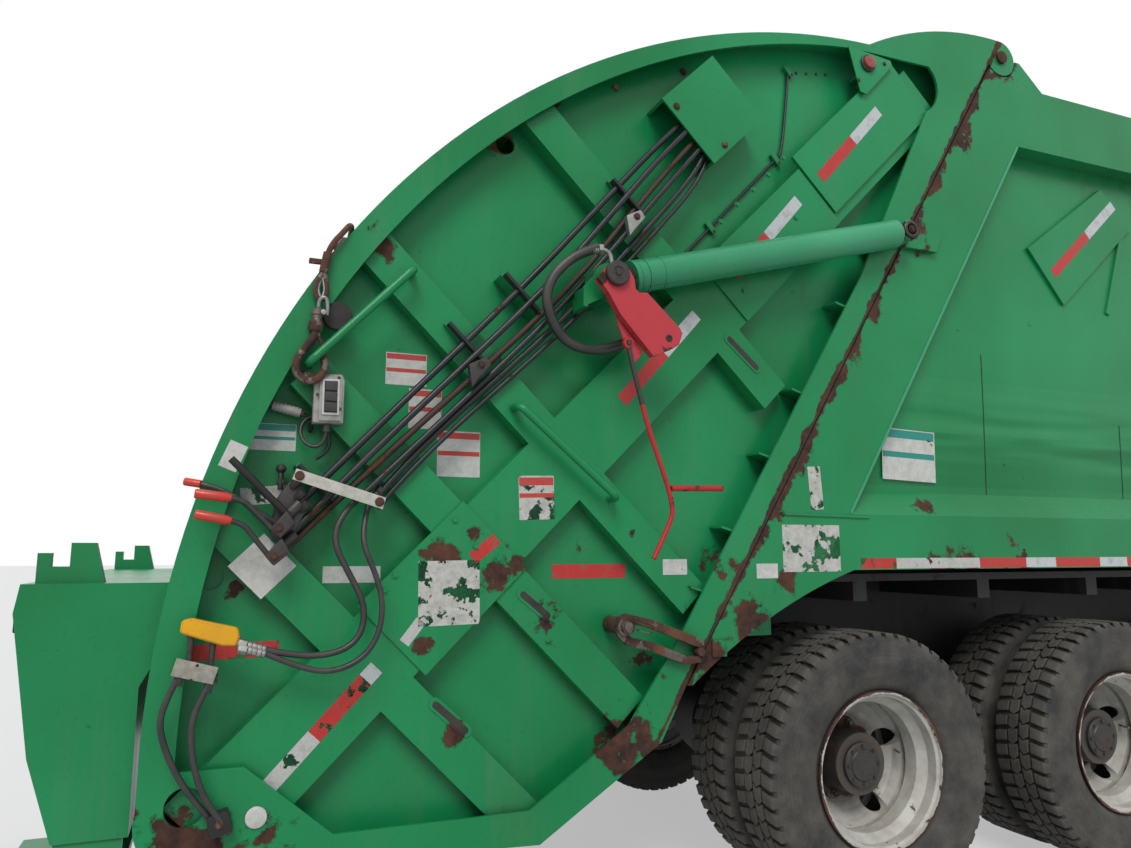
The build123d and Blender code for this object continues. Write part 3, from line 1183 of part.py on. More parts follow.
def cab_shell():
    """The low-entry cab: skin, raised engine tunnel, door and window openings and entry steps."""
    x = FRONT_AXLE_X
    profile = cab_profile()
    shell = slab(profile, -CAB_HALF_WIDTH, CAB_HALF_WIDTH)
    long_edges = shell.edges().filter_by(Axis.Z).sort_by(Axis.X)[-2:]
    shell = fillet(long_edges, 90)
    shell -= slab(offset(profile, -CAB_WALL), -CAB_HALF_WIDTH + CAB_WALL, CAB_HALF_WIDTH - CAB_WALL)
    tunnel = block(x + CAB_BACK, x + CAB_NOSE - CAB_WALL, -TUNNEL_HALF_WIDTH, TUNNEL_HALF_WIDTH, CAB_BOTTOM, TUNNEL_TOP)
    shell += tunnel & slab(profile, -CAB_HALF_WIDTH, CAB_HALF_WIDTH)
    shell -= block(x + CAB_BACK - 1, x + CAB_NOSE - CAB_WALL, -TUNNEL_HALF_WIDTH + 30, TUNNEL_HALF_WIDTH - 30,
                   CAB_BOTTOM - 1, TUNNEL_TOP - 30)
    screen = outline((x + CAB_NOSE + 5, WAIST + 70), (nose_x(2560) + 5, 2560), (x + 1200, 2560), (x + 1200, WAIST + 70))
    shell -= slab(screen, -CAB_HALF_WIDTH + 100, CAB_HALF_WIDTH - 100)
    doorway = offset(door_outline(), DOOR_GAP)
    for face in (doorway, quarter_window()):
        for cut in both(slab(face, CAB_HALF_WIDTH - CAB_WALL - 1, CAB_HALF_WIDTH + 1)):
            shell -= cut
    for cut in both(block(x + CAB_BACK - 1, x + CAB_BACK + CAB_WALL + 1, 250, 800, 1900, 2400)):
        shell -= cut
    side = slab(outline((x + CAB_HINGE_X, CAB_HINGE_Z - 28), (x + CAB_NOSE - 20, CAB_HINGE_Z - 28),
                        (x + CAB_NOSE - 20, CAB_HINGE_Z + 28), (x + CAB_HINGE_X, CAB_HINGE_Z + 28)), 245, 295)
    side += round_y(x + CAB_HINGE_X, CAB_HINGE_Z, 28, 245, 295)
    side -= round_y(x + CAB_HINGE_X, CAB_HINGE_Z, 15 + RUNNING_GAP, 240, 300)
    shell = fused([shell, *both(side)])
    for notch in hinge_barrels(HINGE_KNUCKLE + DOOR_GAP, True):
        for cut in both(notch):
            shell -= cut
    door_x = x + DOOR_FRONT
    for knuckle_barrel, z in zip(hinge_barrels(HINGE_KNUCKLE, False), HINGE_HEIGHTS):
        leaf = block(door_x, door_x + 40, CAB_HALF_WIDTH - 10, CAB_HALF_WIDTH + 6, z - 20, z + 20)
        hole = bar((door_x, CAB_HALF_WIDTH, z - 30), (door_x, CAB_HALF_WIDTH, z + 30), HINGE_PIN + RUNNING_GAP)
        for knuckle_piece, pin_hole in zip(both(knuckle_barrel + leaf - hole), both(hole)):
            shell = shell - pin_hole + knuckle_piece
    return shell


def entry_steps():
    """The steps under the doors, hung from the frame rails."""
    x = FRONT_AXLE_X
    step = block(x + DOOR_REAR + 30, x + DOOR_FRONT - 30, 760, CAB_HALF_WIDTH - 20, 430, 460)
    step += block(x + DOOR_REAR + 30, x + DOOR_FRONT - 30, 700, 740, 430, 720)
    step += block(x + DOOR_REAR + 30, x + DOOR_FRONT - 30, 735, 765, 430, 460)
    step += block(x + DOOR_REAR + 150, x + DOOR_REAR + 210, RAIL_OUTER_Y - 40, 705, 640, 720)
    step += block(x + DOOR_REAR + 150, x + DOOR_REAR + 210, RAIL_OUTER_Y - 40, RAIL_OUTER_Y, 640, RAIL_TOP - RAIL_HEIGHT)
    return both(step)


def door():
    """A door skin with its inner tray, window opening and handle, left-hand side."""
    frame_y = CAB_HALF_WIDTH - DOOR_THICKNESS
    shape = slab(door_outline(), frame_y, CAB_HALF_WIDTH)
    shape -= slab(door_window(), frame_y - 1, CAB_HALF_WIDTH + 1)
    tray = outline((FRONT_AXLE_X + DOOR_REAR + 50, 880), (FRONT_AXLE_X + DOOR_FRONT - 60, 880),
                   (FRONT_AXLE_X + DOOR_FRONT - 60, WAIST - 90), (FRONT_AXLE_X + DOOR_REAR + 50, WAIST - 90))
    shape -= slab(tray, frame_y - 1, CAB_HALF_WIDTH - 8)
    handle = block(FRONT_AXLE_X + DOOR_REAR + 60, FRONT_AXLE_X + DOOR_REAR + 200, CAB_HALF_WIDTH, CAB_HALF_WIDTH + 22,
                   1590, 1620)
    for notch in hinge_barrels(HINGE_KNUCKLE + DOOR_GAP, False):
        shape -= notch
    shape = fused([shape, handle, *hinge_barrels(HINGE_KNUCKLE, True)])
    x = FRONT_AXLE_X + DOOR_FRONT
    for z in HINGE_HEIGHTS:
        shape += bar((x, CAB_HALF_WIDTH, z - 20), (x, CAB_HALF_WIDTH, z + 40), HINGE_PIN)
    return shape


def cab_glass():
    """Windscreen, quarter and rear windows, each filling its opening."""
    x = FRONT_AXLE_X
    screen = screen_block(18, WAIST + 70, 2560, CAB_HALF_WIDTH - 100)
    quarters = both(slab(quarter_window(), CAB_HALF_WIDTH - 30, CAB_HALF_WIDTH - 30 + GLASS))
    rears = both(block(x + CAB_BACK + 18, x + CAB_BACK + 18 + GLASS, 250, 800, 1900, 2400))
    return screen, *quarters, *rears


def cab_interior():
    """Two seats on their boxes, the dash and the steering column."""
    x = FRONT_AXLE_X
    seats = []
    for y in (-700, 700):
        seat = block(x + 300, x + 760, y - 215, y + 215, 1265, 1420) + block(x + 240, x + 360, y - 215, y + 215, 1300, 2050)
        seats.append(seat)
    dash = outline((x + 1160, 1400), (nose_x(1400, CAB_WALL), 1400), (nose_x(1690, CAB_WALL), 1690), (x + 1230, 1690),
                   (x + 1160, 1600))
    panel = slab(dash, -CAB_HALF_WIDTH + CAB_WALL + 30, CAB_HALF_WIDTH - CAB_WALL - 30)
    column = bar((x + 1250, 700, 1420), (x + 1065.3, 700, 1604.7), 32)
    return *seats, panel + column


def mirrors():
    """A tall mirror head on two arms at each front corner of the cab."""
    x = FRONT_AXLE_X
    head = block(x + 1393, x + 1463, 1210, 1420, 1780, 2260)
    for z in (1850, 2200):
        head += round_y(x + 1406, z, 13, CAB_HALF_WIDTH, 1220)
    return both(head)


def steering_wheel():
    """A three-spoke wheel on the column's end."""
    centre = Plane(origin=(FRONT_AXLE_X + 1065, 700, 1605), x_dir=(0, 1, 0), z_dir=(-1, 0, 1))
    rim = centre * Torus(215, 16)
    hub = extrude(centre * Circle(42), amount=24)
    spokes = [extrude(centre * Rot(0, 0, angle) * Pos(110, 0) * Rectangle(215, 34), amount=12) for angle in (90, 210, 330)]
    return fused([rim, hub, *spokes])


save("cab_shell", cab_shell())
save("entry_steps", *entry_steps())
for side, shape in zip(("left", "right"), both(door())):
    save(f"door_{side}", shape)
for side, shape in zip(("left", "right"), both(slab(door_window(), CAB_HALF_WIDTH - 26, CAB_HALF_WIDTH - 26 + GLASS))):
    save(f"door_glass_{side}", shape)
save("cab_glass", *cab_glass())
save("cab_interior", *cab_interior())
save("mirrors", *mirrors())
save("steering_wheel", steering_wheel())
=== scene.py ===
import math

import bmesh
import bpy
from mathutils import Euler, Matrix, Vector


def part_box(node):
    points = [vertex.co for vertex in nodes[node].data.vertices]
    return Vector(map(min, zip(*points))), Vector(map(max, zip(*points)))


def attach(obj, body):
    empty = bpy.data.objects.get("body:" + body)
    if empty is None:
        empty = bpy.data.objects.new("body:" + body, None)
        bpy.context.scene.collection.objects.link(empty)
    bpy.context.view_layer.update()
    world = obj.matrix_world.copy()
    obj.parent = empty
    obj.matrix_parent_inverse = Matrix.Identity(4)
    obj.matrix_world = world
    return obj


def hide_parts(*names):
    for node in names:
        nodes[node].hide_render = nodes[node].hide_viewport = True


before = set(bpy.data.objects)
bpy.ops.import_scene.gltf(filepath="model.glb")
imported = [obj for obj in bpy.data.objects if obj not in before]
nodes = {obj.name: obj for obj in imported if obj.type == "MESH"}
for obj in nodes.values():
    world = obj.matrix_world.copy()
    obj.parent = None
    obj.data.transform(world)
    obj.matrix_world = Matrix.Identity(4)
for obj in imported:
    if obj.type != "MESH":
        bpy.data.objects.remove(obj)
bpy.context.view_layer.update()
scene = bpy.context.scene

# Places are in metres from the rear-most axle, which stands at REAR_AXLE in the frame.
REAR_AXLE = Vector((-2.155, 0.0, 0.0))
AXLE_SPREAD = 1.35
FRONT_AXLE = 5.625
TYRE_RADIUS = 0.52
PLATE_Y = 1.06
RIB_Y = 1.13
COVER_Y = 1.138
EDGE_PLATE_Y = 1.146
RIM_Y = 1.16
PANEL_FACE = 1.072
SEAM_FOOT = Vector((-0.775, 0.0, 0.985))
SEAM_ANGLE = math.radians(58.2)
SIDES = ((1, "left"), (-1, "right"))
AXLES = ((1, FRONT_AXLE), (2, AXLE_SPREAD), (3, 0.0))
CAB_FACE = FRONT_AXLE + 1.5
LIFT_Y = 1.225
LIFT_EYE = Vector((-1.171, 2.309))
STEERED_Y = 1.01
DUALS_Y = (1.08, 0.75)
DRIVE_LUGS = 52
SIPES = 60
WHEEL_NUTS = 10
NUT_CIRCLE = 0.1425
PULL_ROD_Y = 1.342
WINCH_Y = 1.184
SHARP = 0.5  # radians between two faces from which their edge is eased
FLOOR_HALF = 80
PHOTO_TURN = math.radians(21.7)
PHOTO_TILT = math.radians(8.4)


def mm(width, *values):
    """Points with so many coordinates each, given in millimetres."""
    return [tuple(value / 1000 for value in values[first:first + width])
        for first in range(0, len(values), width)]


def in_plane(y, *values):
    """Points at one y, from their x and z in millimetres."""
    return [(x, y, z) for x, z in mm(2, *values)]


def cab_mm(*values):
    """Points of a side view in millimetres, with x from the front axle."""
    return [(FRONT_AXLE + x, z) for x, z in mm(2, *values)]


# Node trees


class Graph:
    """A node tree whose nodes are added with their values and joined in one call."""

    def __init__(self, tree):
        self.tree = tree

    def add(self, kind, inputs=None, **settings):
        node = self.tree.nodes.new(kind)
        for name, value in settings.items():
            setattr(node, name, value)
        for name, value in (inputs or {}).items():
            self.feed(node.inputs[name], value)
        return node

    def feed(self, socket, value):
        if isinstance(value, bpy.types.NodeSocket):
            self.tree.links.new(value, socket)
        else:
            socket.default_value = value

    def calc(self, operation, first, second=0.0, clamp=False):
        return self.add("ShaderNodeMath", {0: first, 1: second}, operation=operation,
            use_clamp=clamp).outputs[0]

    def plus(self, first, second, clamp=False):
        return self.calc("ADD", first, second, clamp)

    def minus(self, first, second, clamp=False):
        return self.calc("SUBTRACT", first, second, clamp)

    def times(self, first, second, clamp=False):
        return self.calc("MULTIPLY", first, second, clamp)

    def most(self, first, second, clamp=False):
        return self.calc("MAXIMUM", first, second, clamp)

    def vector(self, operation, first, second=None):
        """The result of a vector sum: a vector for SUBTRACT, else a number."""
        values = {0: first} if second is None else {0: first, 1: second}
        outputs = self.add("ShaderNodeVectorMath", values, operation=operation).outputs
        return outputs["Vector" if operation == "SUBTRACT" else "Value"]

    def fade(self, value, low, high):
        """0 below low, 1 above high, and a ramp between."""
        spread = {"Value": value, "From Min": low, "From Max": high}
        return self.add("ShaderNodeMapRange", spread).outputs["Result"]

    def mix(self, factor, first, second):
        node = self.add("ShaderNodeMix", data_type="RGBA")
        for number, value in ((0, factor), (6, first), (7, second)):
            self.feed(node.inputs[number], value)
        return node.outputs[2]

    def noise(self, place, scale, detail=4.0, roughness=0.6):
        values = {"Vector": place, "Scale": scale, "Detail": detail, "Roughness": roughness}
        return self.add("ShaderNodeTexNoise", values).outputs["Fac"]

    def stretch(self, place, scale):
        return self.add("ShaderNodeMapping", {"Vector": place, "Scale": scale}).outputs["Vector"]


class Finish(Graph):
    """A material in the making: its tree with a Principled surface, read in object coordinates."""

    def __init__(self, name):
        self.material = bpy.data.materials.new(name)
        self.material.use_nodes = True
        super().__init__(self.material.node_tree)
        self.tree.nodes.clear()
        self.surface = self.add("ShaderNodeBsdfPrincipled")
        self.add("ShaderNodeOutputMaterial", {"Surface": self.surface.outputs["BSDF"]})
        self.place = self.add("ShaderNodeTexCoord").outputs["Object"]

    def put(self, name, value):
        self.feed(self.surface.inputs[name], value)

    def use(self, group, **values):
        """Places a shared effect and gives back its outputs."""
        node = self.add("ShaderNodeGroup", {"Place": self.place}, node_tree=group)
        for name, value in values.items():
            self.feed(node.inputs[name.replace("_", " ")], value)
        return node.outputs

    # The corner mask: grime and painted shade where little light reaches.
    def dirt_and_shade(self, reach, amount):
        return self.use(CORNER_DIRT_AND_SHADE, Reach=reach, Amount=amount)["Mask"]

    def rust(self, bloom):
        return self.use(RUST_COLOUR, Bloom=bloom)["Color"]

    def from_axle(self, centre):
        """How far a place is from a wheel's axle."""
        return self.vector("LENGTH", self.stretch(self.vector("SUBTRACT", self.place, centre),
            (1.0, 0.0, 1.0)))

    def bump(self, height, distance, strength=0.6):
        values = {"Height": height, "Distance": distance, "Strength": strength}
        self.put("Normal", self.add("ShaderNodeBump", values).outputs["Normal"])


def effect(name, inputs, outputs):
    """An empty shader node group with named sockets, as (graph, its inputs, its outputs)."""
    tree = bpy.data.node_groups.new(name, "ShaderNodeTree")
    for label, value in inputs.items():
        kind = "NodeSocketVector" if isinstance(value, tuple) else "NodeSocketFloat"
        tree.interface.new_socket(label, in_out="INPUT", socket_type=kind).default_value = value
    for label, kind in outputs.items():
        tree.interface.new_socket(label, in_out="OUTPUT", socket_type="NodeSocket" + kind)
    graph = Graph(tree)
    return graph, tree.nodes.new("NodeGroupInput").outputs, tree.nodes.new("NodeGroupOutput").inputs


def make_patches():
    """Ragged patches that gather where Bias is high, with a rim round them."""
    graph, take, give = effect("Ragged patches", {"Place": (0.0, 0.0, 0.0), "Scale": 8.0, "Threshold": 0.72,
        "Bias": 0.0}, {"Mask": "Float", "Rim": "Float"})
    coarse = graph.noise(take["Place"], take["Scale"], 8.0, 0.62)
    score = graph.plus(coarse, graph.times(take["Bias"], 0.36))
    edge = graph.minus(score, take["Threshold"])
    mask = graph.fade(edge, 0.0, 0.012)
    graph.feed(give["Mask"], mask)
    graph.feed(give["Rim"], graph.minus(graph.fade(edge, -0.035, 0.0), mask, True))
    return graph.tree


def make_streaks():
    """Vertical runs left by rain and grime."""
    graph, take, give = effect("Rain streaks", {"Place": (0.0, 0.0, 0.0), "Scale": 6.0}, {"Mask": "Float"})
    tall = graph.stretch(take["Place"], (1.0, 1.0, 0.07))
    runs = graph.fade(graph.noise(tall, graph.times(take["Scale"], 2.5), 5.0), 0.5, 0.72)
    broken = graph.fade(graph.noise(take["Place"], graph.times(take["Scale"], 0.35), 3.0), 0.38, 0.62)
    graph.feed(give["Mask"], graph.times(runs, broken))
    return graph.tree


def make_corners():
    """Grime and painted shade in inside corners: ambient occlusion broken up by noise."""
    graph, take, give = effect("Corner dirt", {"Place": (0.0, 0.0, 0.0), "Reach": 0.08, "Amount": 0.6},
        {"Mask": "Float"})
    opening = graph.add("ShaderNodeAmbientOcclusion", {"Distance": take["Reach"]}, samples=6)
    # The occlusion term is painted shade; the noise below breaks it up as grime.
    occluded_shade = graph.fade(graph.minus(1.0, opening.outputs["AO"]), 0.25, 0.95)
    rough = graph.fade(graph.noise(take["Place"], 14.0, 6.0), 0.28, 0.62)
    graph.feed(give["Mask"], graph.times(graph.times(occluded_shade, rough), take["Amount"], True))
    return graph.tree


def make_edge_wear():
    """Paint knocked off outside edges."""
    graph, take, give = effect("Edge wear", {"Place": (0.0, 0.0, 0.0), "Width": 0.006, "Amount": 0.5,
        "Scale": 12.0}, {"Mask": "Float"})
    eased = graph.add("ShaderNodeBevel", {"Radius": take["Width"]}, samples=4).outputs["Normal"]
    sharp = graph.add("ShaderNodeNewGeometry").outputs["True Normal"]
    turn = graph.vector("DOT_PRODUCT", eased, sharp)
    edge = graph.fade(graph.minus(1.0, turn), 0.04, 0.22)
    broken = graph.noise(take["Place"], take["Scale"], 8.0, 0.7)
    gate = graph.minus(0.86, graph.times(take["Amount"], 0.42))
    kept = graph.fade(graph.minus(broken, gate), 0.0, 0.03)
    graph.feed(give["Mask"], graph.times(edge, kept))
    return graph.tree


def make_zone():
    """A soft spot: 1 at its centre, 0 beyond its reach."""
    graph, take, give = effect("Spot", {"Place": (0.0, 0.0, 0.0), "Centre": (0.0, 0.0, 0.0), "Reach": 0.2},
        {"Mask": "Float"})
    gap = graph.vector("DISTANCE", take["Place"], take["Centre"])
    graph.feed(give["Mask"], graph.minus(1.0, graph.calc("DIVIDE", gap, take["Reach"]), True))
    return graph.tree


def make_band():
    """A soft band along a slanting line seen from the side: 1 on the line, 0 beyond its reach."""
    graph, take, give = effect("Slanting band", {"Place": (0.0, 0.0, 0.0), "On line": (0.0, 0.0, 0.0),
        "Across": (1.0, 0.0, 0.0), "Reach": 0.1}, {"Mask": "Float"})
    away = graph.vector("SUBTRACT", take["Place"], take["On line"])
    off = graph.vector("DOT_PRODUCT", away, take["Across"])
    ratio = graph.calc("DIVIDE", graph.calc("ABSOLUTE", off), take["Reach"])
    graph.feed(give["Mask"], graph.minus(1.0, ratio, True))
    return graph.tree


def make_rust_colour():
    """Dark scale with orange bloom."""
    graph, take, give = effect("Rust colour", {"Place": (0.0, 0.0, 0.0), "Bloom": 0.4}, {"Color": "Color"})
    speck = graph.fade(graph.noise(take["Place"], 26.0, 8.0, 0.7), 0.35, 0.7)
    scale = graph.mix(speck, (0.02, 0.011, 0.01, 1.0), (0.08, 0.034, 0.024, 1.0))
    bloom = graph.fade(graph.noise(take["Place"], 7.0, 5.0), 0.45, 0.7)
    orange = graph.mix(graph.times(bloom, take["Bloom"]), scale, (0.2, 0.078, 0.03, 1.0))
    graph.feed(give["Color"], orange)
    return graph.tree


PATCHES = make_patches()
STREAKS = make_streaks()
CORNER_DIRT_AND_SHADE = make_corners()
EDGE_WEAR = make_edge_wear()
SPOT = make_zone()
BAND = make_band()
RUST_COLOUR = make_rust_colour()

DUST = (0.16, 0.145, 0.12, 1.0)
# Near-black for the corner mask: grease and painted shade in the corners.
GREASE_AND_SHADE = (0.018, 0.017, 0.015, 1.0)


def colour(red, green, blue):
    return (red, green, blue, 1.0)


def axle_centre(axle_x):
    return (axle_x + REAR_AXLE.x, 0.0, TYRE_RADIUS)


def darker(shade, share):
    return (shade[0] * share, shade[1] * share, shade[2] * share, 1.0)


def rust_map(graph, spots, seam):
    """The highest of the soft spots and the seam's band, where rust gathers."""
    masks = [graph.use(SPOT, Centre=tuple(Vector(middle) + REAR_AXLE), Reach=reach)["Mask"]
        for *middle, reach in spots]
    if seam:
        foot, across = tuple(SEAM_FOOT + REAR_AXLE), (math.sin(SEAM_ANGLE), 0.0, -math.cos(SEAM_ANGLE))
        masks.append(graph.use(BAND, On_line=foot, Across=across, Reach=seam)["Mask"])
        masks.append(graph.times(graph.use(BAND, On_line=foot, Across=across, Reach=seam * 0.42)["Mask"],
            1.4))
    bias = masks[0] if masks else 0.0
    for mask in masks[1:]:
        bias = graph.most(bias, mask)
    return bias


def painted(name, shade, gloss=0.3, dirt_and_shade=0.5, wear=0.4, rust=0.72, spots=(), seam=0.0, faded=None, ripple=0.0,
    dented=None):
    """Sprayed steel: drifting colour, rain streaks, grime and painted shade in the corners, worn edges, and
    rust at the spots.
    """
    graph = Finish(name)
    place = graph.place
    graph.put("Specular IOR Level", 0.3)
    drift = graph.fade(graph.noise(place, 0.8, 3.0), 0.35, 0.68)
    base = graph.mix(drift, darker(shade, 0.86), faded or darker(shade, 1.14))
    streaks = graph.use(STREAKS, Scale=5.0)["Mask"]
    base = graph.mix(graph.times(streaks, 0.22 * dirt_and_shade), base, DUST)
    fine = graph.noise(place, 60.0, 6.0, 0.7)
    base = graph.mix(graph.times(graph.fade(fine, 0.56, 0.7), 0.35 * dirt_and_shade), base, darker(shade, 0.45))
    # Grime and painted shade in the corners, mixed towards near-black.
    corners = graph.dirt_and_shade(0.09, dirt_and_shade)
    base = graph.mix(corners, base, GREASE_AND_SHADE)
    bias = rust_map(graph, spots, seam)
    patches = graph.use(PATCHES, Scale=9.0, Threshold=rust, Bias=bias)
    edges = graph.use(EDGE_WEAR, Width=0.006, Amount=wear, Scale=13.0)["Mask"]
    bare = graph.most(patches["Mask"], edges)
    base = graph.mix(graph.times(patches["Rim"], 0.7), base, darker(shade, 0.42))
    base = graph.mix(bare, base, graph.rust(0.35))
    graph.put("Base Color", base)
    sheen = graph.plus(gloss, graph.times(graph.plus(streaks, corners), 0.22))
    rough = graph.plus(graph.times(drift, 0.07), sheen)
    graph.put("Roughness", graph.most(rough, graph.times(bare, 0.82), True))
    peel = graph.times(graph.noise(place, 170.0, 2.0), 0.05)
    waves = graph.times(graph.noise(graph.stretch(place, (1.0, 1.0, 0.6)), 2.2, 2.0), ripple)
    height = graph.plus(graph.minus(peel, graph.times(bare, 0.25)), waves)
    if dented:
        level, reach = dented
        ridges = graph.noise(graph.stretch(place, (1.0, 1.0, 8.0)), 1.2, 1.0)
        band = graph.use(BAND, On_line=(0.0, 0.0, level), Across=(0.0, 0.0, 1.0), Reach=reach)["Mask"]
        height = graph.plus(height, graph.times(graph.times(ridges, band), 14.0))
    graph.bump(height, 0.006)
    return graph.material


def worn_steel(name, shade, metal=0.75, rough=0.5, rust=0.55, bloom=0.4, scratch=0.5):
    """Bare steel with scratches, rust bloom, and grease with painted shade in its corners."""
    graph = Finish(name)
    place = graph.place
    scored = graph.noise(graph.stretch(place, (1.0, 0.18, 1.0)), 55.0, 6.0, 0.65)
    base = graph.mix(graph.fade(scored, 0.4, 0.65), darker(shade, 0.7), shade)
    patches = graph.use(PATCHES, Scale=11.0, Threshold=rust, Bias=0.0)
    # Grease and painted shade in the corners, from the occlusion mask.
    corners = graph.dirt_and_shade(0.04, 0.8)
    base = graph.mix(patches["Mask"], base, graph.rust(bloom))
    base = graph.mix(corners, base, GREASE_AND_SHADE)
    graph.put("Base Color", base)
    covered = graph.most(patches["Mask"], corners)
    graph.put("Metallic", graph.times(graph.minus(1.0, covered), metal))
    graph.put("Roughness", graph.plus(graph.times(covered, 0.35), rough, True))
    pits = graph.times(graph.noise(place, 120.0, 5.0, 0.7), scratch)
    graph.bump(graph.plus(pits, graph.times(covered, 0.4)), 0.002)
    return graph.material


def plastic(name, shade, rough=0.45, dirt_and_shade=0.4):
    """Moulded plastic or paint on small fittings, with grain, dust and handling marks, and grime with painted
    shade in the corners.
    """
    graph = Finish(name)
    place = graph.place
    marks = graph.fade(graph.noise(place, 18.0, 6.0, 0.68), 0.42, 0.68)
    base = graph.mix(graph.times(marks, dirt_and_shade), shade, graph.mix(0.5, darker(shade, 0.4), DUST))
    # Grime and painted shade in the corners, mixed towards near-black.
    corners = graph.dirt_and_shade(0.02, dirt_and_shade)
    graph.put("Base Color", graph.mix(corners, base, GREASE_AND_SHADE))
    graph.put("Roughness", graph.plus(rough, graph.times(marks, 0.25), True))
    graph.bump(graph.noise(place, 400.0, 2.0), 0.0004, 0.5)
    return graph.material


def rubber(name, shade, dust, centre=None, rough=0.75):
    """Black rubber, dusty where rubbed. A tyre's dust lies in rings round its axle, the centre given."""
    graph = Finish(name)
    place = graph.place
    blotch = graph.fade(graph.noise(place, 7.0, 7.0, 0.66), 0.36, 0.66)
    amount = graph.times(blotch, dust)
    height = graph.times(graph.noise(place, 90.0, 5.0, 0.7), 0.5)
    if centre:
        reach = graph.from_axle(centre)
        rings = graph.add("ShaderNodeCombineXYZ", {"X": reach}).outputs["Vector"]
        ringed = graph.noise(rings, 130.0, 3.0, 0.7)
        height = graph.plus(height, graph.times(ringed, 0.5))
        worn = graph.fade(reach, TYRE_RADIUS - 0.012, TYRE_RADIUS)
        amount = graph.plus(amount, graph.times(worn, 0.22), True)
        amount = graph.times(amount, graph.fade(ringed, 0.15, 0.5), True)
    base = graph.mix(amount, shade, DUST)
    # Grime and painted shade in the corners: the rubber is darkened there.
    corners = graph.dirt_and_shade(0.05, 0.7)
    graph.put("Base Color", graph.mix(corners, base, darker(shade, 0.5)))
    graph.put("Roughness", graph.plus(rough, graph.times(amount, 0.2), True))
    graph.bump(height, 0.002, 0.7)
    return graph.material


def rim_paint(name, centre):
    """Off-white wheel paint that gets brown and greasy towards the hub and rusty at its lip."""
    graph = Finish(name)
    place = graph.place
    reach = graph.from_axle(centre)
    mottle = graph.noise(place, 12.0, 7.0, 0.68)
    near_hub = graph.plus(graph.fade(reach, 0.215, 0.1), graph.times(mottle, 0.5))
    base = graph.mix(graph.fade(mottle, 0.42, 0.7), colour(0.47, 0.46, 0.43), colour(0.34, 0.31, 0.27))
    base = graph.mix(graph.fade(near_hub, 0.38, 0.95), base, colour(0.06, 0.048, 0.04))
    # Grime and painted shade in the wheel's corners, mixed towards dark brown.
    corners = graph.dirt_and_shade(0.07, 0.8)
    base = graph.mix(corners, base, colour(0.05, 0.037, 0.028))
    lip = graph.times(graph.fade(reach, 0.284, 0.297), 0.9)
    patches = graph.use(PATCHES, Scale=14.0, Threshold=0.66, Bias=lip)["Mask"]
    base = graph.mix(patches, base, graph.rust(0.5))
    graph.put("Base Color", base)
    graph.put("Roughness", graph.plus(0.42, graph.times(mottle, 0.3), True))
    graph.bump(graph.plus(mottle, patches), 0.0015)
    return graph.material


def vinyl(name, shade, torn=0.0, dirt_and_shade=0.3):
    """Printed film stuck on the paint, scuffed, and torn away in places if it is old."""
    graph = Finish(name)
    place = graph.place
    scuff = graph.fade(graph.noise(place, 30.0, 8.0, 0.72), 0.42, 0.72)
    base = graph.mix(graph.times(scuff, dirt_and_shade), shade, colour(0.2, 0.18, 0.15))
    creases = graph.fade(graph.noise(graph.stretch(place, (1.0, 1.0, 3.0)), 40.0, 3.0), 0.6, 0.66)
    # The creases are darkened in colour: painted shade in the folds, with grime.
    graph.put("Base Color", graph.mix(graph.times(creases, 0.35 * dirt_and_shade), base, darker(shade, 0.5)))
    graph.put("Roughness", graph.plus(0.5, graph.times(scuff, 0.3), True))
    if torn:
        gone = graph.use(PATCHES, Scale=16.0, Threshold=0.72 - 0.2 * torn, Bias=0.0)["Mask"]
        graph.put("Alpha", graph.minus(1.0, gone))
    graph.bump(creases, 0.0006)
    return graph.material


def reflective(name, shade, torn=0.25):
    """Retroreflective tape: a fine honeycomb under a clear film, scuffed through in places."""
    graph = Finish(name)
    place = graph.place
    cells = graph.add("ShaderNodeTexVoronoi", {"Vector": place, "Scale": 240.0}).outputs["Distance"]
    base = graph.mix(graph.fade(cells, 0.2, 0.75), shade, darker(shade, 0.8))
    scuff = graph.fade(graph.noise(place, 24.0, 8.0, 0.72), 0.5, 0.75)
    base = graph.mix(graph.times(scuff, 0.6), base, colour(0.16, 0.14, 0.11))
    graph.put("Base Color", base)
    graph.put("Roughness", graph.plus(0.35, graph.times(scuff, 0.4), True))
    gone = graph.use(PATCHES, Scale=20.0, Threshold=0.74 - 0.16 * torn, Bias=0.0)["Mask"]
    graph.put("Alpha", graph.minus(1.0, gone))
    graph.bump(cells, 0.0003)
    return graph.material


def clear_glass(name, tint):
    """Window glass, seen through, with a film of dust."""
    graph = Finish(name)
    film = graph.times(graph.use(STREAKS, Scale=4.0)["Mask"], 0.25)
    graph.put("Base Color", graph.mix(film, tint, DUST))
    graph.put("Roughness", graph.plus(0.02, film))
    graph.put("Alpha", graph.plus(0.35, film))
    return graph.material


def lens(name, shade):
    """Moulded lamp lens with fine ribs behind a smooth face."""
    graph = Finish(name)
    place = graph.place
    fine = graph.add("ShaderNodeTexVoronoi", {"Vector": place, "Scale": 240.0}).outputs["Distance"]
    dull = graph.fade(graph.noise(place, 20.0, 5.0), 0.4, 0.75)
    base = graph.mix(graph.fade(fine, 0.1, 0.7), shade, darker(shade, 0.45))
    graph.put("Base Color", graph.mix(graph.times(dull, 0.3), base, DUST))
    graph.put("Roughness", graph.plus(0.12, graph.times(dull, 0.3)))
    graph.put("Coat Weight", 0.6)
    graph.bump(fine, 0.0008)
    return graph.material


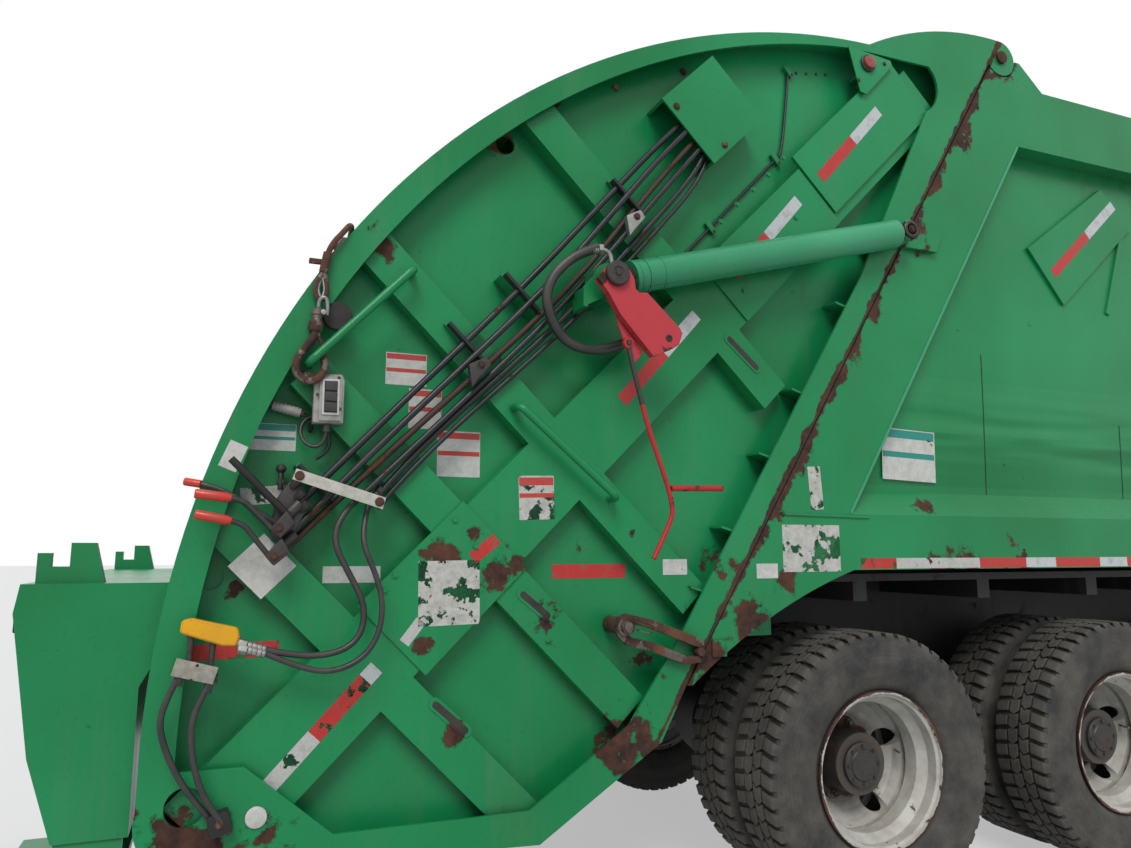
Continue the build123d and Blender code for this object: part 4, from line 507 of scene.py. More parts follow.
def cloth(name, shade):
    """Woven upholstery."""
    graph = Finish(name)
    place = graph.place
    warp = graph.add("ShaderNodeTexWave", {"Vector": place, "Scale": 260.0},
        bands_direction="Y").outputs["Fac"]
    weft = graph.add("ShaderNodeTexWave", {"Vector": place, "Scale": 260.0},
        bands_direction="Z").outputs["Fac"]
    weave = graph.times(warp, weft)
    worn = graph.fade(graph.noise(place, 6.0, 5.0), 0.4, 0.7)
    base = graph.mix(weave, darker(shade, 0.6), shade)
    graph.put("Base Color", graph.mix(graph.times(worn, 0.3), base, DUST))
    graph.put("Roughness", 0.95)
    graph.put("Sheen Weight", 0.3)
    graph.bump(weave, 0.0006)
    return graph.material


GREEN = colour(0.005, 0.205, 0.06)
FADED_GREEN = colour(0.012, 0.262, 0.094)
TAILGATE_RUST = mm(4,
    # x, y, z, reach of each place on the tailgate's right side where the paint has gone
    -1700, -1138, 1340, 130, -1620, -1138, 1400, 80, -1530, -1138, 1280, 140, -1450, -1138, 1320, 80,
    -1790, -1138, 1050, 60, -1950, -1130, 2360, 120, -2520, -1160, 550, 240, -1660, -1130, 780, 80,
    -1080, -1160, 700, 250, -950, -1130, 930, 140, -1030, -1130, 1420, 40, -1200, -1060, 1370, 50,
    -1520, -1060, 2860, 100, -2340, -1060, 1250, 70, -660, -1130, 1300, 130, -2350, -1160, 450, 260,
    -1350, -1130, 1100, 120, -2200, -1130, 1450, 80)
BOLSTER_RUST = mm(4,
    # x, y, z, reach of each place on the body's rear column
    -550, -1160, 1120, 240, -380, -1160, 1220, 160, -720, -1160, 930, 280, 50, -1160, 1280, 180,
    -450, -1160, 1500, 100, 960, -1160, 3700, 200, 620, -1160, 3300, 220, 340, -1160, 2750, 180)
RAIL_RUST = mm(4, 450, -1160, 1260, 220, 850, -1160, 1260, 200, 350, -1100, 1550, 120)

green_tailgate = painted("Green paint, tailgate", GREEN, 0.27, 0.75, 0.55, 0.735, TAILGATE_RUST, 0.03,
    FADED_GREEN, 0.25)
green_bolster = painted("Green paint, rear column", GREEN, 0.27, 0.65, 0.7, 0.725, BOLSTER_RUST, 0.085,
    FADED_GREEN, 0.2)
green_body = painted("Green paint, body", GREEN, 0.24, 0.45, 0.5, 0.735, RAIL_RUST, 0.0, FADED_GREEN, 1.3,
    (1.87, 0.24))
green_cab = painted("Green paint, cab", GREEN, 0.2, 0.35, 0.25, 0.78, (), 0.0, FADED_GREEN, 0.1)
green_barrel = painted("Green paint, lift barrels", colour(0.035, 0.3, 0.14), 0.25, 0.45, 0.5, 0.76,
    ((0.23, -1.26, 2.7, 0.1),), 0.0, colour(0.06, 0.35, 0.18))
black_chassis = painted("Black chassis paint", colour(0.022, 0.022, 0.022), 0.5, 0.8, 0.6, 0.62)
black_trim_paint = painted("Black trim paint", colour(0.018, 0.018, 0.019), 0.4, 0.5, 0.4, 0.7)
red_prop = painted("Red paint, safety prop", colour(0.55, 0.045, 0.06), 0.3, 0.6, 1.0, 0.74,
    mm(4, -1230, -1330, 2280, 50, -970, -1330, 2040, 60), 0.0, colour(0.58, 0.065, 0.085))
red_rod = painted("Red and bare prop handle", colour(0.44, 0.022, 0.025), 0.4, 0.8, 0.9, 0.6)
yellow_valve = painted("Yellow valve paint", colour(0.74, 0.36, 0.012), 0.35, 0.8, 1.0, 0.62)
pipe_paint = painted("Black pipe paint", colour(0.018, 0.021, 0.024), 0.3, 0.6, 0.8, 0.64)
pipe_rust = painted("Rusty pipe", colour(0.05, 0.026, 0.022), 0.5, 0.7, 0.8, 0.6)
rusty_steel = worn_steel("Rusty steel fittings", colour(0.16, 0.13, 0.11), 0.55, 0.5, 0.46, 0.5)
hopper_steel = worn_steel("Scoured hopper steel", colour(0.36, 0.34, 0.31), 0.85, 0.42, 0.52, 0.6)
dark_steel = worn_steel("Greasy dark steel", colour(0.055, 0.052, 0.05), 0.4, 0.45, 0.6, 0.2)
hub_grease = worn_steel("Greasy hub casting", colour(0.045, 0.04, 0.037), 0.3, 0.5, 0.56, 0.25)
zinc = worn_steel("Zinc plated fittings", colour(0.36, 0.36, 0.35), 0.8, 0.45, 0.62, 0.3, 0.3)
alloy = worn_steel("Tank alloy", colour(0.62, 0.62, 0.63), 0.9, 0.34, 0.74, 0.15, 0.2)
stainless = worn_steel("Exhaust steel", colour(0.5, 0.47, 0.43), 0.9, 0.32, 0.66, 0.4, 0.2)
chrome = worn_steel("Polished rod", colour(0.78, 0.78, 0.79), 1.0, 0.08, 0.8, 0.2, 0.02)
cast_iron = worn_steel("Oily cast iron", colour(0.1, 0.1, 0.1), 0.5, 0.55, 0.58, 0.2)
hose_rubber = rubber("Hose rubber", colour(0.016, 0.017, 0.019), 0.22, rough=0.42)
seal_rubber = rubber("Seal rubber", colour(0.01, 0.01, 0.01), 0.25)
black_plastic = plastic("Black plastic", colour(0.02, 0.02, 0.021))
grey_plastic = plastic("Grey switch box", colour(0.34, 0.34, 0.31), 0.4, 0.6)
red_grip = plastic("Red lever grips", colour(0.55, 0.035, 0.022), 0.3, 0.35)
dash_plastic = plastic("Dash plastic", colour(0.055, 0.056, 0.06), 0.6, 0.35)
cream_bar = vinyl("Weathered white bar", colour(0.5, 0.49, 0.44), 0.0, 0.55)
tag_metal = worn_steel("Grey tag plate", colour(0.36, 0.34, 0.29), 0.4, 0.5, 0.7, 0.2, 0.2)
white_vinyl = vinyl("White film", colour(0.56, 0.56, 0.54), 0.25, 0.4)
old_vinyl = vinyl("Torn white film", colour(0.5, 0.5, 0.47), 1.0, 0.6)
red_vinyl = vinyl("Red print", colour(0.48, 0.035, 0.03), 0.3, 0.3)
teal_vinyl = vinyl("Teal print", colour(0.006, 0.24, 0.2), 0.1, 0.3)
blue_vinyl = vinyl("Blue print", colour(0.02, 0.04, 0.33), 0.4, 0.3)
red_tape = reflective("Red reflective tape", colour(0.52, 0.022, 0.018))
white_tape = reflective("White reflective tape", colour(0.56, 0.58, 0.6))
torn_red_tape = reflective("Torn red reflective tape", colour(0.5, 0.022, 0.018), 1.0)
torn_white_tape = reflective("Torn white reflective tape", colour(0.52, 0.52, 0.5), 0.9)
red_lens = lens("Red lamp lens", colour(0.4, 0.012, 0.01))
amber_lens = lens("Amber lamp lens", colour(0.8, 0.2, 0.01))
clear_lens = lens("Clear lamp lens", colour(0.6, 0.62, 0.63))
window_glass = clear_glass("Cab glass", colour(0.02, 0.035, 0.032))
mirror_glass = worn_steel("Mirror glass", colour(0.85, 0.87, 0.88), 1.0, 0.03, 0.9, 0.0, 0.0)
cab_cloth = cloth("Woven cab cloth", colour(0.045, 0.048, 0.055))


# Shapes are drawn in metres from the rear-most axle, as on the left side: +y points out of the truck


def solid(points, y_low, y_high, bevel=0.0, steps=2):
    """An outline in x and z made solid between two y, with its edges eased."""
    shape = bmesh.new()
    ring = [shape.verts.new((x, y_low, z)) for x, z in points]
    face = shape.faces.new(ring)
    grown = bmesh.ops.extrude_face_region(shape, geom=[face])["geom"]
    ends = [item for item in grown if isinstance(item, bmesh.types.BMVert)]
    bmesh.ops.translate(shape, verts=ends, vec=(0, y_high - y_low, 0))
    bmesh.ops.recalc_face_normals(shape, faces=shape.faces[:])
    return ease(shape, bevel, steps)


def ease(shape, bevel, steps=2):
    """Rounds the sharp edges of a shape."""
    if bevel:
        sharp = [edge for edge in shape.edges if edge.is_manifold and edge.calc_face_angle(0.0) > SHARP]
        bmesh.ops.bevel(shape, geom=sharp, offset=bevel, segments=steps, profile=0.7, affect="EDGES",
            clamp_overlap=True)
    return shape


def brick(x_low, x_high, y_low, y_high, z_low, z_high, bevel=0.004):
    return solid([(x_low, z_low), (x_high, z_low), (x_high, z_high), (x_low, z_high)], y_low, y_high, bevel)


def turned(profile, steps=64, closed=False):
    """A profile of (radius, y) turned round the Y axis. A closed profile makes a ring."""
    shape = bmesh.new()
    rings = []
    for number in range(steps):
        angle = math.tau * number / steps
        rings.append([shape.verts.new((r * math.sin(angle), y, r * math.cos(angle))) for r, y in profile])
    last = len(profile) if closed else len(profile) - 1
    for number in range(steps):
        here, beyond = rings[number], rings[(number + 1) % steps]
        for row in range(last):
            after = (row + 1) % len(profile)
            shape.faces.new((here[row], here[after], beyond[after], beyond[row]))
    bmesh.ops.remove_doubles(shape, verts=shape.verts, dist=1e-5)
    bmesh.ops.recalc_face_normals(shape, faces=shape.faces[:])
    return shape


def poured(shape, target):
    """Adds a shape to a mesh in the making. The shape goes."""
    data = bpy.data.meshes.new("part")
    shape.to_mesh(data)
    shape.free()
    target.from_mesh(data)
    bpy.data.meshes.remove(data)


def flipped(shape):
    """Mirrored to the other side."""
    bmesh.ops.scale(shape, verts=shape.verts, vec=(1, -1, 1))
    bmesh.ops.reverse_faces(shape, faces=shape.faces[:])
    return shape


def aimed(shape, run):
    """Turned from the Y axis to a direction."""
    turn = Vector((0, 1, 0)).rotation_difference(Vector(run)).to_matrix()
    bmesh.ops.rotate(shape, verts=shape.verts, cent=(0, 0, 0), matrix=turn)
    return shape


def moved(shape, x=0.0, y=0.0, z=0.0):
    bmesh.ops.translate(shape, verts=shape.verts, vec=(x, y, z))
    return shape


def spun(shape, axis, angle):
    bmesh.ops.rotate(shape, verts=shape.verts, cent=(0, 0, 0), matrix=Matrix.Rotation(angle, 3, axis))
    return shape


def taken(item):
    """The finished mesh of an object that carries a curve or a modifier, as a shape. The object goes."""
    scene.collection.objects.link(item)
    graph = bpy.context.evaluated_depsgraph_get()
    made = bpy.data.meshes.new_from_object(item.evaluated_get(graph))
    shape = bmesh.new()
    shape.from_mesh(made)
    bpy.data.objects.remove(item)
    bpy.data.meshes.remove(made)
    return shape


def tube(points, radius, sides=3, resolution=6):
    """A round tube along one smooth curve. A point given twice makes a sharper bend."""
    path = bpy.data.curves.new("tube", "CURVE")
    path.dimensions = "3D"
    path.bevel_depth = radius
    path.bevel_resolution = sides
    path.use_fill_caps = True
    spline = path.splines.new("NURBS")
    spline.points.add(len(points) - 1)
    for point, place in zip(spline.points, points):
        point.co = (*place, 1.0)
    spline.order_u = 3
    spline.use_endpoint_u = True
    spline.resolution_u = resolution
    shape = taken(bpy.data.objects.new("tube", path))
    bmesh.ops.remove_doubles(shape, verts=shape.verts, dist=1e-5)
    bmesh.ops.recalc_face_normals(shape, faces=shape.faces[:])
    return shape


def straight(start, end, radius, sides=24, bevel=0.0):
    """A round bar between two points."""
    start, run = Vector(start), Vector(end) - Vector(start)
    shape = turned([(0.0, 0.0), (radius, 0.0), (radius, run.length), (0.0, run.length)], sides)
    return moved(aimed(ease(shape, bevel), run), *start)


def strip(start, end, width):
    """The four corners of a straight strip between two points of a side view."""
    run = (Vector(end) - Vector(start)).normalized() * width / 2
    across = Vector((-run.y, run.x))
    return [tuple(Vector(start) - across), tuple(Vector(end) - across), tuple(Vector(end) + across),
        tuple(Vector(start) + across)]


def along(start, end, share):
    return tuple(Vector(start).lerp(Vector(end), share))


# Geometry trees


def new_tree(name, sockets):
    """A geometry tree with named inputs, as (graph, its inputs, its output)."""
    tree = bpy.data.node_groups.new(name, "GeometryNodeTree")
    tree.interface.new_socket("Shape", in_out="INPUT", socket_type="NodeSocketGeometry")
    for label, (kind, value) in sockets.items():
        tree.interface.new_socket(label, in_out="INPUT",
            socket_type="NodeSocket" + kind).default_value = value
    tree.interface.new_socket("Material", in_out="INPUT", socket_type="NodeSocketMaterial")
    tree.interface.new_socket("Result", in_out="OUTPUT", socket_type="NodeSocketGeometry")
    graph = Graph(tree)
    return graph, tree.nodes.new("NodeGroupInput").outputs, tree.nodes.new("NodeGroupOutput").inputs


def close_tree(graph, take, give, instances):
    real = graph.add("GeometryNodeRealizeInstances", {0: instances}).outputs[0]
    finished = graph.add("GeometryNodeSetMaterial",
        {"Geometry": real, "Material": take["Material"]}).outputs[0]
    graph.feed(give[0], finished)
    return graph.tree


def make_ring_tree():
    """Repeats a shape round the Y axis."""
    graph, take, give = new_tree("Ring", {"Count": ("Int", 10)})
    points = graph.add("GeometryNodePoints", {"Count": take["Count"]}).outputs[0]
    step = graph.calc("DIVIDE", math.tau, take["Count"])
    turn = graph.times(graph.add("GeometryNodeInputIndex").outputs[0], step)
    rotation = graph.add("ShaderNodeCombineXYZ", {"Y": turn}).outputs[0]
    copies = graph.add("GeometryNodeInstanceOnPoints", {"Points": points, "Instance": take["Shape"],
        "Rotation": rotation})
    return close_tree(graph, take, give, copies.outputs[0])


def make_row_tree():
    """Repeats a shape in a straight row."""
    graph, take, give = new_tree("Row", {"Count": ("Int", 5), "Step": ("Vector", (0.1, 0.0, 0.0))})
    line = graph.add("GeometryNodeMeshLine", {"Count": take["Count"], "Offset": take["Step"]},
        mode="OFFSET").outputs[0]
    copies = graph.add("GeometryNodeInstanceOnPoints", {"Points": line, "Instance": take["Shape"]})
    return close_tree(graph, take, give, copies.outputs[0])


def make_bolt_tree():
    """A hexagon bolt head on its washer at every point, facing outwards and each turned its own way."""
    graph, take, give = new_tree("Bolts", {"Radius": ("Float", 0.01), "Seed": ("Int", 1)})
    head_height = graph.times(take["Radius"], 0.75)
    washer_height = graph.times(take["Radius"], 0.22)
    head = graph.add("GeometryNodeMeshCone", {"Vertices": 6, "Radius Top": graph.times(take["Radius"], 0.9),
        "Radius Bottom": take["Radius"], "Depth": head_height}).outputs["Mesh"]
    washer = graph.add("GeometryNodeMeshCylinder", {"Vertices": 20,
        "Radius": graph.times(take["Radius"], 1.35), "Depth": washer_height}).outputs["Mesh"]
    raised = graph.add("GeometryNodeTransform", {"Geometry": washer,
        "Translation": graph.add("ShaderNodeCombineXYZ", {"Z": graph.times(washer_height, 0.5)}).outputs[0]})
    bolt = graph.add("GeometryNodeJoinGeometry")
    graph.tree.links.new(head, bolt.inputs[0])
    graph.tree.links.new(raised.outputs[0], bolt.inputs[0])
    spin = graph.add("FunctionNodeRandomValue", {"Min": (-math.pi / 2, 0.0, 0.0),
        "Max": (-math.pi / 2, 6.2, 0.0), "Seed": take["Seed"]}, data_type="FLOAT_VECTOR").outputs[0]
    copies = graph.add("GeometryNodeInstanceOnPoints", {"Points": take["Shape"], "Instance": bolt.outputs[0],
        "Rotation": spin})
    return close_tree(graph, take, give, copies.outputs[0])


RING_TREE = make_ring_tree()
ROW_TREE = make_row_tree()
BOLT_TREE = make_bolt_tree()


def grown(tree, shape, material, **values):
    """What a geometry tree makes of a shape."""
    data = bpy.data.meshes.new("carrier")
    shape.to_mesh(data)
    shape.free()
    carrier = bpy.data.objects.new("carrier", data)
    modifier = carrier.modifiers.new("grow", "NODES")
    modifier.node_group = tree
    for item in tree.interface.items_tree:
        if item.item_type == "SOCKET" and item.name in values:
            modifier[item.identifier] = values[item.name]
        if item.item_type == "SOCKET" and item.name == "Material":
            modifier[item.identifier] = material
    return taken(carrier)


def bolts(places, radius, seed=1):
    """Bolt heads at (x, y, z) places."""
    shape = bmesh.new()
    for place in places:
        shape.verts.new(place)
    return grown(BOLT_TREE, shape, zinc, Radius=radius, Seed=seed)


def ring_of(shape, count):
    return grown(RING_TREE, shape, zinc, Count=count)


def row_of(shape, count, step):
    return grown(ROW_TREE, shape, zinc, Count=count, Step=step)


class Piece:
    """One piece in the making. Shapes are added with their materials, and it is finished as one mesh."""

    def __init__(self, name, body, slot, side=-1):
        self.name, self.body, self.slot, self.side = name, body, slot, side
        self.mesh = bmesh.new()
        self.materials = []

    def add(self, shape, material):
        if material not in self.materials:
            self.materials.append(material)
        for face in shape.faces:
            face.material_index = self.materials.index(material)
        poured(shape, self.mesh)

    def slab(self, material, *values):
        self.add(solid(*values), material)

    def block(self, material, *values):
        self.add(brick(*values), material)

    def bar(self, material, *values):
        self.add(straight(*values), material)

    def peg(self, material, x, z, low, high, *values):
        self.bar(material, (x, low, z), (x, high, z), *values)

    def pipe(self, material, *values):
        self.add(tube(*values), material)

    def bolted(self, material, *values):
        self.add(bolts(*values), material)

    def lathed(self, material, place, *values):
        self.add(moved(turned(*values), *place), material)

    def film(self, corners, y, material, thickness=0.0007):
        """A thin film on the side, by its corners in x and z."""
        self.slab(material, corners, y, y + thickness)

    def done(self, replace=(), angle=32):
        if self.side < 0:
            flipped(self.mesh)
        moved(self.mesh, *REAR_AXLE)
        data = bpy.data.meshes.new(self.name)
        self.mesh.to_mesh(data)
        self.mesh.free()
        data.shade_smooth()
        data.set_sharp_from_angle(angle=math.radians(angle))
        for material in self.materials:
            data.materials.append(material)
        piece = bpy.data.objects.new(self.name, data)
        scene.collection.objects.link(piece)
        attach(piece, self.body)
        if replace:
            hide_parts(*replace)
        return piece


# Finishes of the CAD parts


def finish_nodes(material, *names):
    for name in names:
        slots = nodes[name].material_slots
        if slots:
            for place in slots:
                place.material = material
        else:
            nodes[name].data.materials.append(material)


FINISHES = (
    (black_chassis, ("chassis_frame", "front_axle", "rear_bogie", "driveline", "entry_steps", "tow_eyes",
        # body_floor takes chassis black so the sills and bearers under the body read dark: painted shade.
        "side_boxes", "body_floor")),
    (cast_iron, ("engine_block", "axle1_left_knuckle", "axle1_right_knuckle")),
    (black_trim_paint, ("bumper", "mirrors")),
    (clear_lens, ("headlamps",)),
    (alloy, ("fuel_tank",)),
    (stainless, ("exhaust_stack",)),
    (green_body, ("body_side_left", "body_side_right", "body_roof_and_front")),
    (green_bolster, ("body_bolster",)),
    (hopper_steel, ("ejector_panel", "hopper_trough", "packer_blade", "packer_carriage")),
    (green_tailgate, ("tailgate_side_left", "tailgate_side_right", "tailgate_roof", "hopper_sill")),
    (rusty_steel, ("tailgate_latches", "winch_hook", "control_levers")),
    (pipe_paint, ("pipe_run",)),
    (red_lens, ("tail_lamps",)),
    (green_barrel, ("lift_barrels", "sweep_barrels")),
    (chrome, ("lift_rods", "sweep_rods")),
    (red_prop, ("safety_prop",)),
    (red_rod, ("prop_handle",)),
    (green_cab, ("cab_shell", "door_left", "door_right")),
    (window_glass, ("cab_glass", "door_glass_left", "door_glass_right")),
    (cab_cloth, ("cab_interior",)),
    (black_plastic, ("steering_wheel",)),
)
for material, names in FINISHES:
    finish_nodes(material, *names)
for axle, axle_x in AXLES:
    paint = rim_paint(f"Wheel paint, axle {axle}", axle_centre(axle_x))
    ending = "wheel" if axle == 1 else "wheels"
    finish_nodes(paint, f"axle{axle}_left_{ending}", f"axle{axle}_right_{ending}")


# Tyres


def tread_block(section, outline_angles):
    """A tread lug: a section in (y, radius) carried between two slanting ends, each point by its angles."""
    shape = bmesh.new()
    ends = []
    for side in (0, 1):
        ends.append([shape.verts.new((radius * math.sin(angles[side]), y,
            radius * math.cos(angles[side]))) for (y, radius), angles in zip(section, outline_angles)])
    shape.faces.new(ends[0])
    shape.faces.new(list(reversed(ends[1])))
    for number in range(len(section)):
        after = (number + 1) % len(section)
        shape.faces.new((ends[0][number], ends[1][number], ends[1][after], ends[0][after]))
    bmesh.ops.recalc_face_normals(shape, faces=shape.faces[:])
    return ease(shape, 0.0022, 1)


def carcass(tread_radius, grooves=()):
    """The tyre's body: beads, sidewalls with their moulded rings, and the base of the tread."""
    half = [(0.2875, 0.097), (0.3, 0.099), (0.306, 0.106), (0.318, 0.116), (0.322, 0.1195), (0.33, 0.1225),
        (0.345, 0.1305), (0.366, 0.1365), (0.388, 0.1385), (0.392, 0.1395), (0.418, 0.1395), (0.422, 0.1383),
        (0.446, 0.1362), (0.468, 0.1325), (0.472, 0.1335), (0.48, 0.1318), (0.497, 0.1275),
        (tread_radius - 0.002, 0.1165)]
    base = [(tread_radius, 0.1145)] + [(radius, y) for y, radius in grooves]
    profile = half + base
    mirrored = [(radius, -y) for radius, y in reversed(profile)]
    return turned(profile + mirrored, 128, True)


def drive_tread():
    """Deep shoulder lugs and two rows of zigzag blocks."""
    pitch = math.tau / DRIVE_LUGS
    lug = [(0.058, 0.502), (0.058, TYRE_RADIUS - 0.001), (0.1145, TYRE_RADIUS - 0.001), (0.1275, 0.4985),
        (0.129, 0.484), (0.116, 0.502)]
    lug_ends = [((lean - 0.34) * pitch, (lean + 0.34) * pitch)
        for lean in (0.14, 0.14, -0.02, -0.05, -0.05, 0.0)]
    lugs = ring_of(tread_block(lug, lug_ends), DRIVE_LUGS)
    block = [(0.005, 0.502), (0.005, TYRE_RADIUS), (0.026, TYRE_RADIUS), (0.049, TYRE_RADIUS), (0.049, 0.502)]
    block_ends = [((lean - 0.4) * pitch, (lean + 0.4) * pitch) for lean in (0.3, 0.3, -0.06, 0.2, 0.2)]
    blocks = ring_of(tread_block(block, block_ends), DRIVE_LUGS)
    whole = bmesh.new()
    for shape in (lugs, blocks):
        poured(shape.copy(), whole)
        bmesh.ops.scale(shape, verts=shape.verts, vec=(1, -1, 1))
        poured(spun(shape, "Y", pitch / 2), whole)
    bmesh.ops.recalc_face_normals(whole, faces=whole.faces[:])
    return whole


def tyre(axle_x, y_middle, rubber_finish, piece, steered=False):
    """One tyre on its rim."""
    if steered:
        grooves = [(0.078, TYRE_RADIUS), (0.076, 0.506), (0.068, 0.506), (0.066, TYRE_RADIUS),
            (0.03, TYRE_RADIUS), (0.028, 0.506), (0.02, 0.506), (0.018, TYRE_RADIUS)]
        piece.add(moved(carcass(TYRE_RADIUS - 0.001, grooves), axle_x, y_middle, TYRE_RADIUS), rubber_finish)
        sipe = tread_block([(0.082, 0.512), (0.082, TYRE_RADIUS + 0.0006), (0.113, TYRE_RADIUS + 0.0006),
            (0.113, 0.512)], [(-0.045, 0.04), (-0.045, 0.04), (-0.05, 0.035), (-0.05, 0.035)])
        for side in (1, -1):
            ribs = ring_of(sipe.copy(), SIPES)
            piece.add(moved(flipped(ribs) if side < 0 else ribs, axle_x, y_middle, TYRE_RADIUS),
                rubber_finish)
        sipe.free()
    else:
        piece.add(moved(carcass(0.5035), axle_x, y_middle, TYRE_RADIUS), rubber_finish)
        piece.add(moved(drive_tread(), axle_x, y_middle, TYRE_RADIUS), rubber_finish)


def make_tyres():
    for axle, axle_x in AXLES:
        finish = rubber(f"Tyre rubber, axle {axle}", colour(0.021, 0.021, 0.022), 0.5, axle_centre(axle_x))
        for side, word in SIDES:
            if axle == 1:
                piece = Piece(f"tyre_1_{word}", f"wheel1_{word}", "tyre", side)
                tyre(axle_x, STEERED_Y, finish, piece, True)
                piece.done((f"axle1_{word}_tyre",))
            else:
                piece = Piece(f"tyres_{axle}_{word}", f"wheels{axle}_{word}", "tyre", side)
                for y in DUALS_Y:
                    tyre(axle_x, y, finish, piece)
                piece.done((f"axle{axle}_{word}_tyres",))


make_tyres()


# Hubs


def make_hubs():
    for axle, axle_x in AXLES:
        for side, word in SIDES:
            body = f"wheel1_{word}" if axle == 1 else f"wheels{axle}_{word}"
            piece = Piece(f"hub_{axle}_{word}", body, "cast_iron", side)
            middle = (axle_x, 0, TYRE_RADIUS)
            face = 1.182 if axle == 1 else 0.934
            sleeve, end = (0.1015, 1.232) if axle == 1 else (0.1195, 1.064)
            scallops = []
            for number in range(120):
                angle = math.tau * number / 120
                radius = 0.157 + 0.01 * math.cos(10 * angle)
                scallops.append((radius * math.cos(angle), radius * math.sin(angle)))
            piece.add(moved(solid(scallops, face, face + 0.009, 0.003), *middle), hub_grease)
            piece.lathed(hub_grease, middle, [(sleeve + 0.012, face + 0.006), (sleeve + 0.004, face + 0.03),
                (sleeve, face + 0.045), (sleeve, end - 0.012), (sleeve - 0.006, end), (0.0, end)], 96)
            cap_y = 1.236 if axle == 1 else 1.084
            piece.lathed(dark_steel, middle, [(0.086, end - 0.002), (0.086, cap_y - 0.006), (0.08, cap_y),
                (0.062, cap_y), (0.058, cap_y + 0.005), (0.0, cap_y + 0.007)], 64)
            nut = bolts([(NUT_CIRCLE, face + 0.006, 0.0)], 0.0175, 3)
            stud = straight((NUT_CIRCLE, face, 0.0), (NUT_CIRCLE, face + 0.034, 0.0), 0.0085, 12, 0.0015)
            small = bolts([(0.072, cap_y, 0.0)], 0.007, 5)
            for shape, count, finish in ((nut, WHEEL_NUTS, rusty_steel), (stud, WHEEL_NUTS, rusty_steel),
                    (small, 8, dark_steel)):
                piece.add(moved(ring_of(shape, count), *middle), finish)
            y_stem = 1.1 if axle == 1 else 0.98
            stem = tube([(0.247, y_stem, 0.02), (0.225, y_stem + 0.03, 0.02), (0.215, y_stem + 0.075, 0.02)],
                0.0045)
            piece.add(moved(stem, *middle), zinc)
            piece.done()


# Films, tapes and small fittings on the flat sides


WHITE_AND_RED = ((0.0, 0.45, white_tape), (0.45, 1.0, red_tape))
TAPES = (
    # start and end of each tape as (x, z), width, y of the face it sticks to, and (from, to, finish) along it
    ((0.204, 3.285), (-0.129, 2.914), 0.05, EDGE_PLATE_Y, WHITE_AND_RED),
    ((-0.242, 2.8), (-0.56, 2.44), 0.05, COVER_Y, ((0.0, 0.5, white_tape), (0.5, 1.0, red_tape))),
    ((-0.738, 2.258), (-1.06, 1.9), 0.05, RIB_Y, WHITE_AND_RED),
    ((-1.536, 1.397), (-1.62, 1.33), 0.042, COVER_Y, ((0.0, 1.0, red_tape),)),
    ((-1.787, 1.134), (-1.84, 1.065), 0.036, COVER_Y, ((0.0, 1.0, torn_white_tape),)),
    ((-1.021, 1.283), (-1.307, 1.283), 0.05, PLATE_Y, ((0.0, 1.0, red_tape),)),
    ((-1.923, 0.993), (-2.253, 0.64), 0.05, RIB_Y, ((0.0, 0.1, white_tape), (0.1, 0.55, torn_red_tape),
        (0.55, 1.0, torn_white_tape))),
    ((-2.214, 1.057), (-2.46, 1.052), 0.048, PLATE_Y, ((0.0, 0.75, torn_red_tape), (0.75, 1.0, red_tape))),
)
RAIL_TAPE = (
    # x from and to of each length of tape along the body's lower rail
    (-0.03, 0.15, torn_red_tape), (0.15, 0.33, torn_white_tape), (0.33, 0.6, torn_white_tape),
    (0.6, 0.87, red_tape), (0.87, 1.05, white_tape), (1.05, 1.33, red_tape), (1.33, 1.51, white_tape),
    (1.51, 1.79, red_tape), (1.79, 1.97, white_tape), (2.5, 2.78, red_tape), (2.78, 2.96, white_tape),
    (3.5, 3.78, red_tape), (3.78, 3.96, white_tape), (4.36, 4.64, red_tape), (4.64, 4.82, white_tape),
)
STICKERS = (
    # middle x and z, width, height, y, tilt in degrees, film, and the ink and its bands as (from, to) up it
    (-1.842, 1.97, 0.14, 0.111, PLATE_Y, 0, white_vinyl, red_vinyl, ((0.8, 0.97), (0.4, 0.52))),
    (-1.774, 1.836, 0.113, 0.137, PLATE_Y, 0, white_vinyl, red_vinyl, ((0.82, 0.97), (0.44, 0.55))),
    (-1.653, 1.686, 0.152, 0.158, PLATE_Y, 0, white_vinyl, red_vinyl, ((0.83, 0.97), (0.46, 0.56))),
    (-2.272, 1.716, 0.16, 0.086, PLATE_Y, 0, white_vinyl, teal_vinyl, ((0.74, 0.98), (0.4, 0.52))),
    (-1.225, 1.714, 0.14, 0.158, PLATE_Y, -3, old_vinyl, blue_vinyl, ((0.8, 0.97), (0.42, 0.54))),
    (-1.391, 1.538, 0.13, 0.152, RIB_Y, 2, old_vinyl, red_vinyl, ((0.78, 0.96), (0.5, 0.6))),
    (-2.275, 1.53, 0.15, 0.055, PLATE_Y, 6, old_vinyl),
    (-2.0, 1.28, 0.183, 0.053, PLATE_Y, 0, white_vinyl),
    (-0.853, 1.297, 0.1, 0.056, RIB_Y, 0, white_vinyl),
    (-2.277, 1.31, 0.14, 0.14, RIB_Y, 45, white_vinyl),
    (-1.696, 1.22, 0.205, 0.208, COVER_Y, 1, old_vinyl),
    (-2.378, 1.64, 0.055, 0.085, RIM_Y, -22, white_vinyl),
)
LEFT_STICKERS = (0, 2, 3, 5)
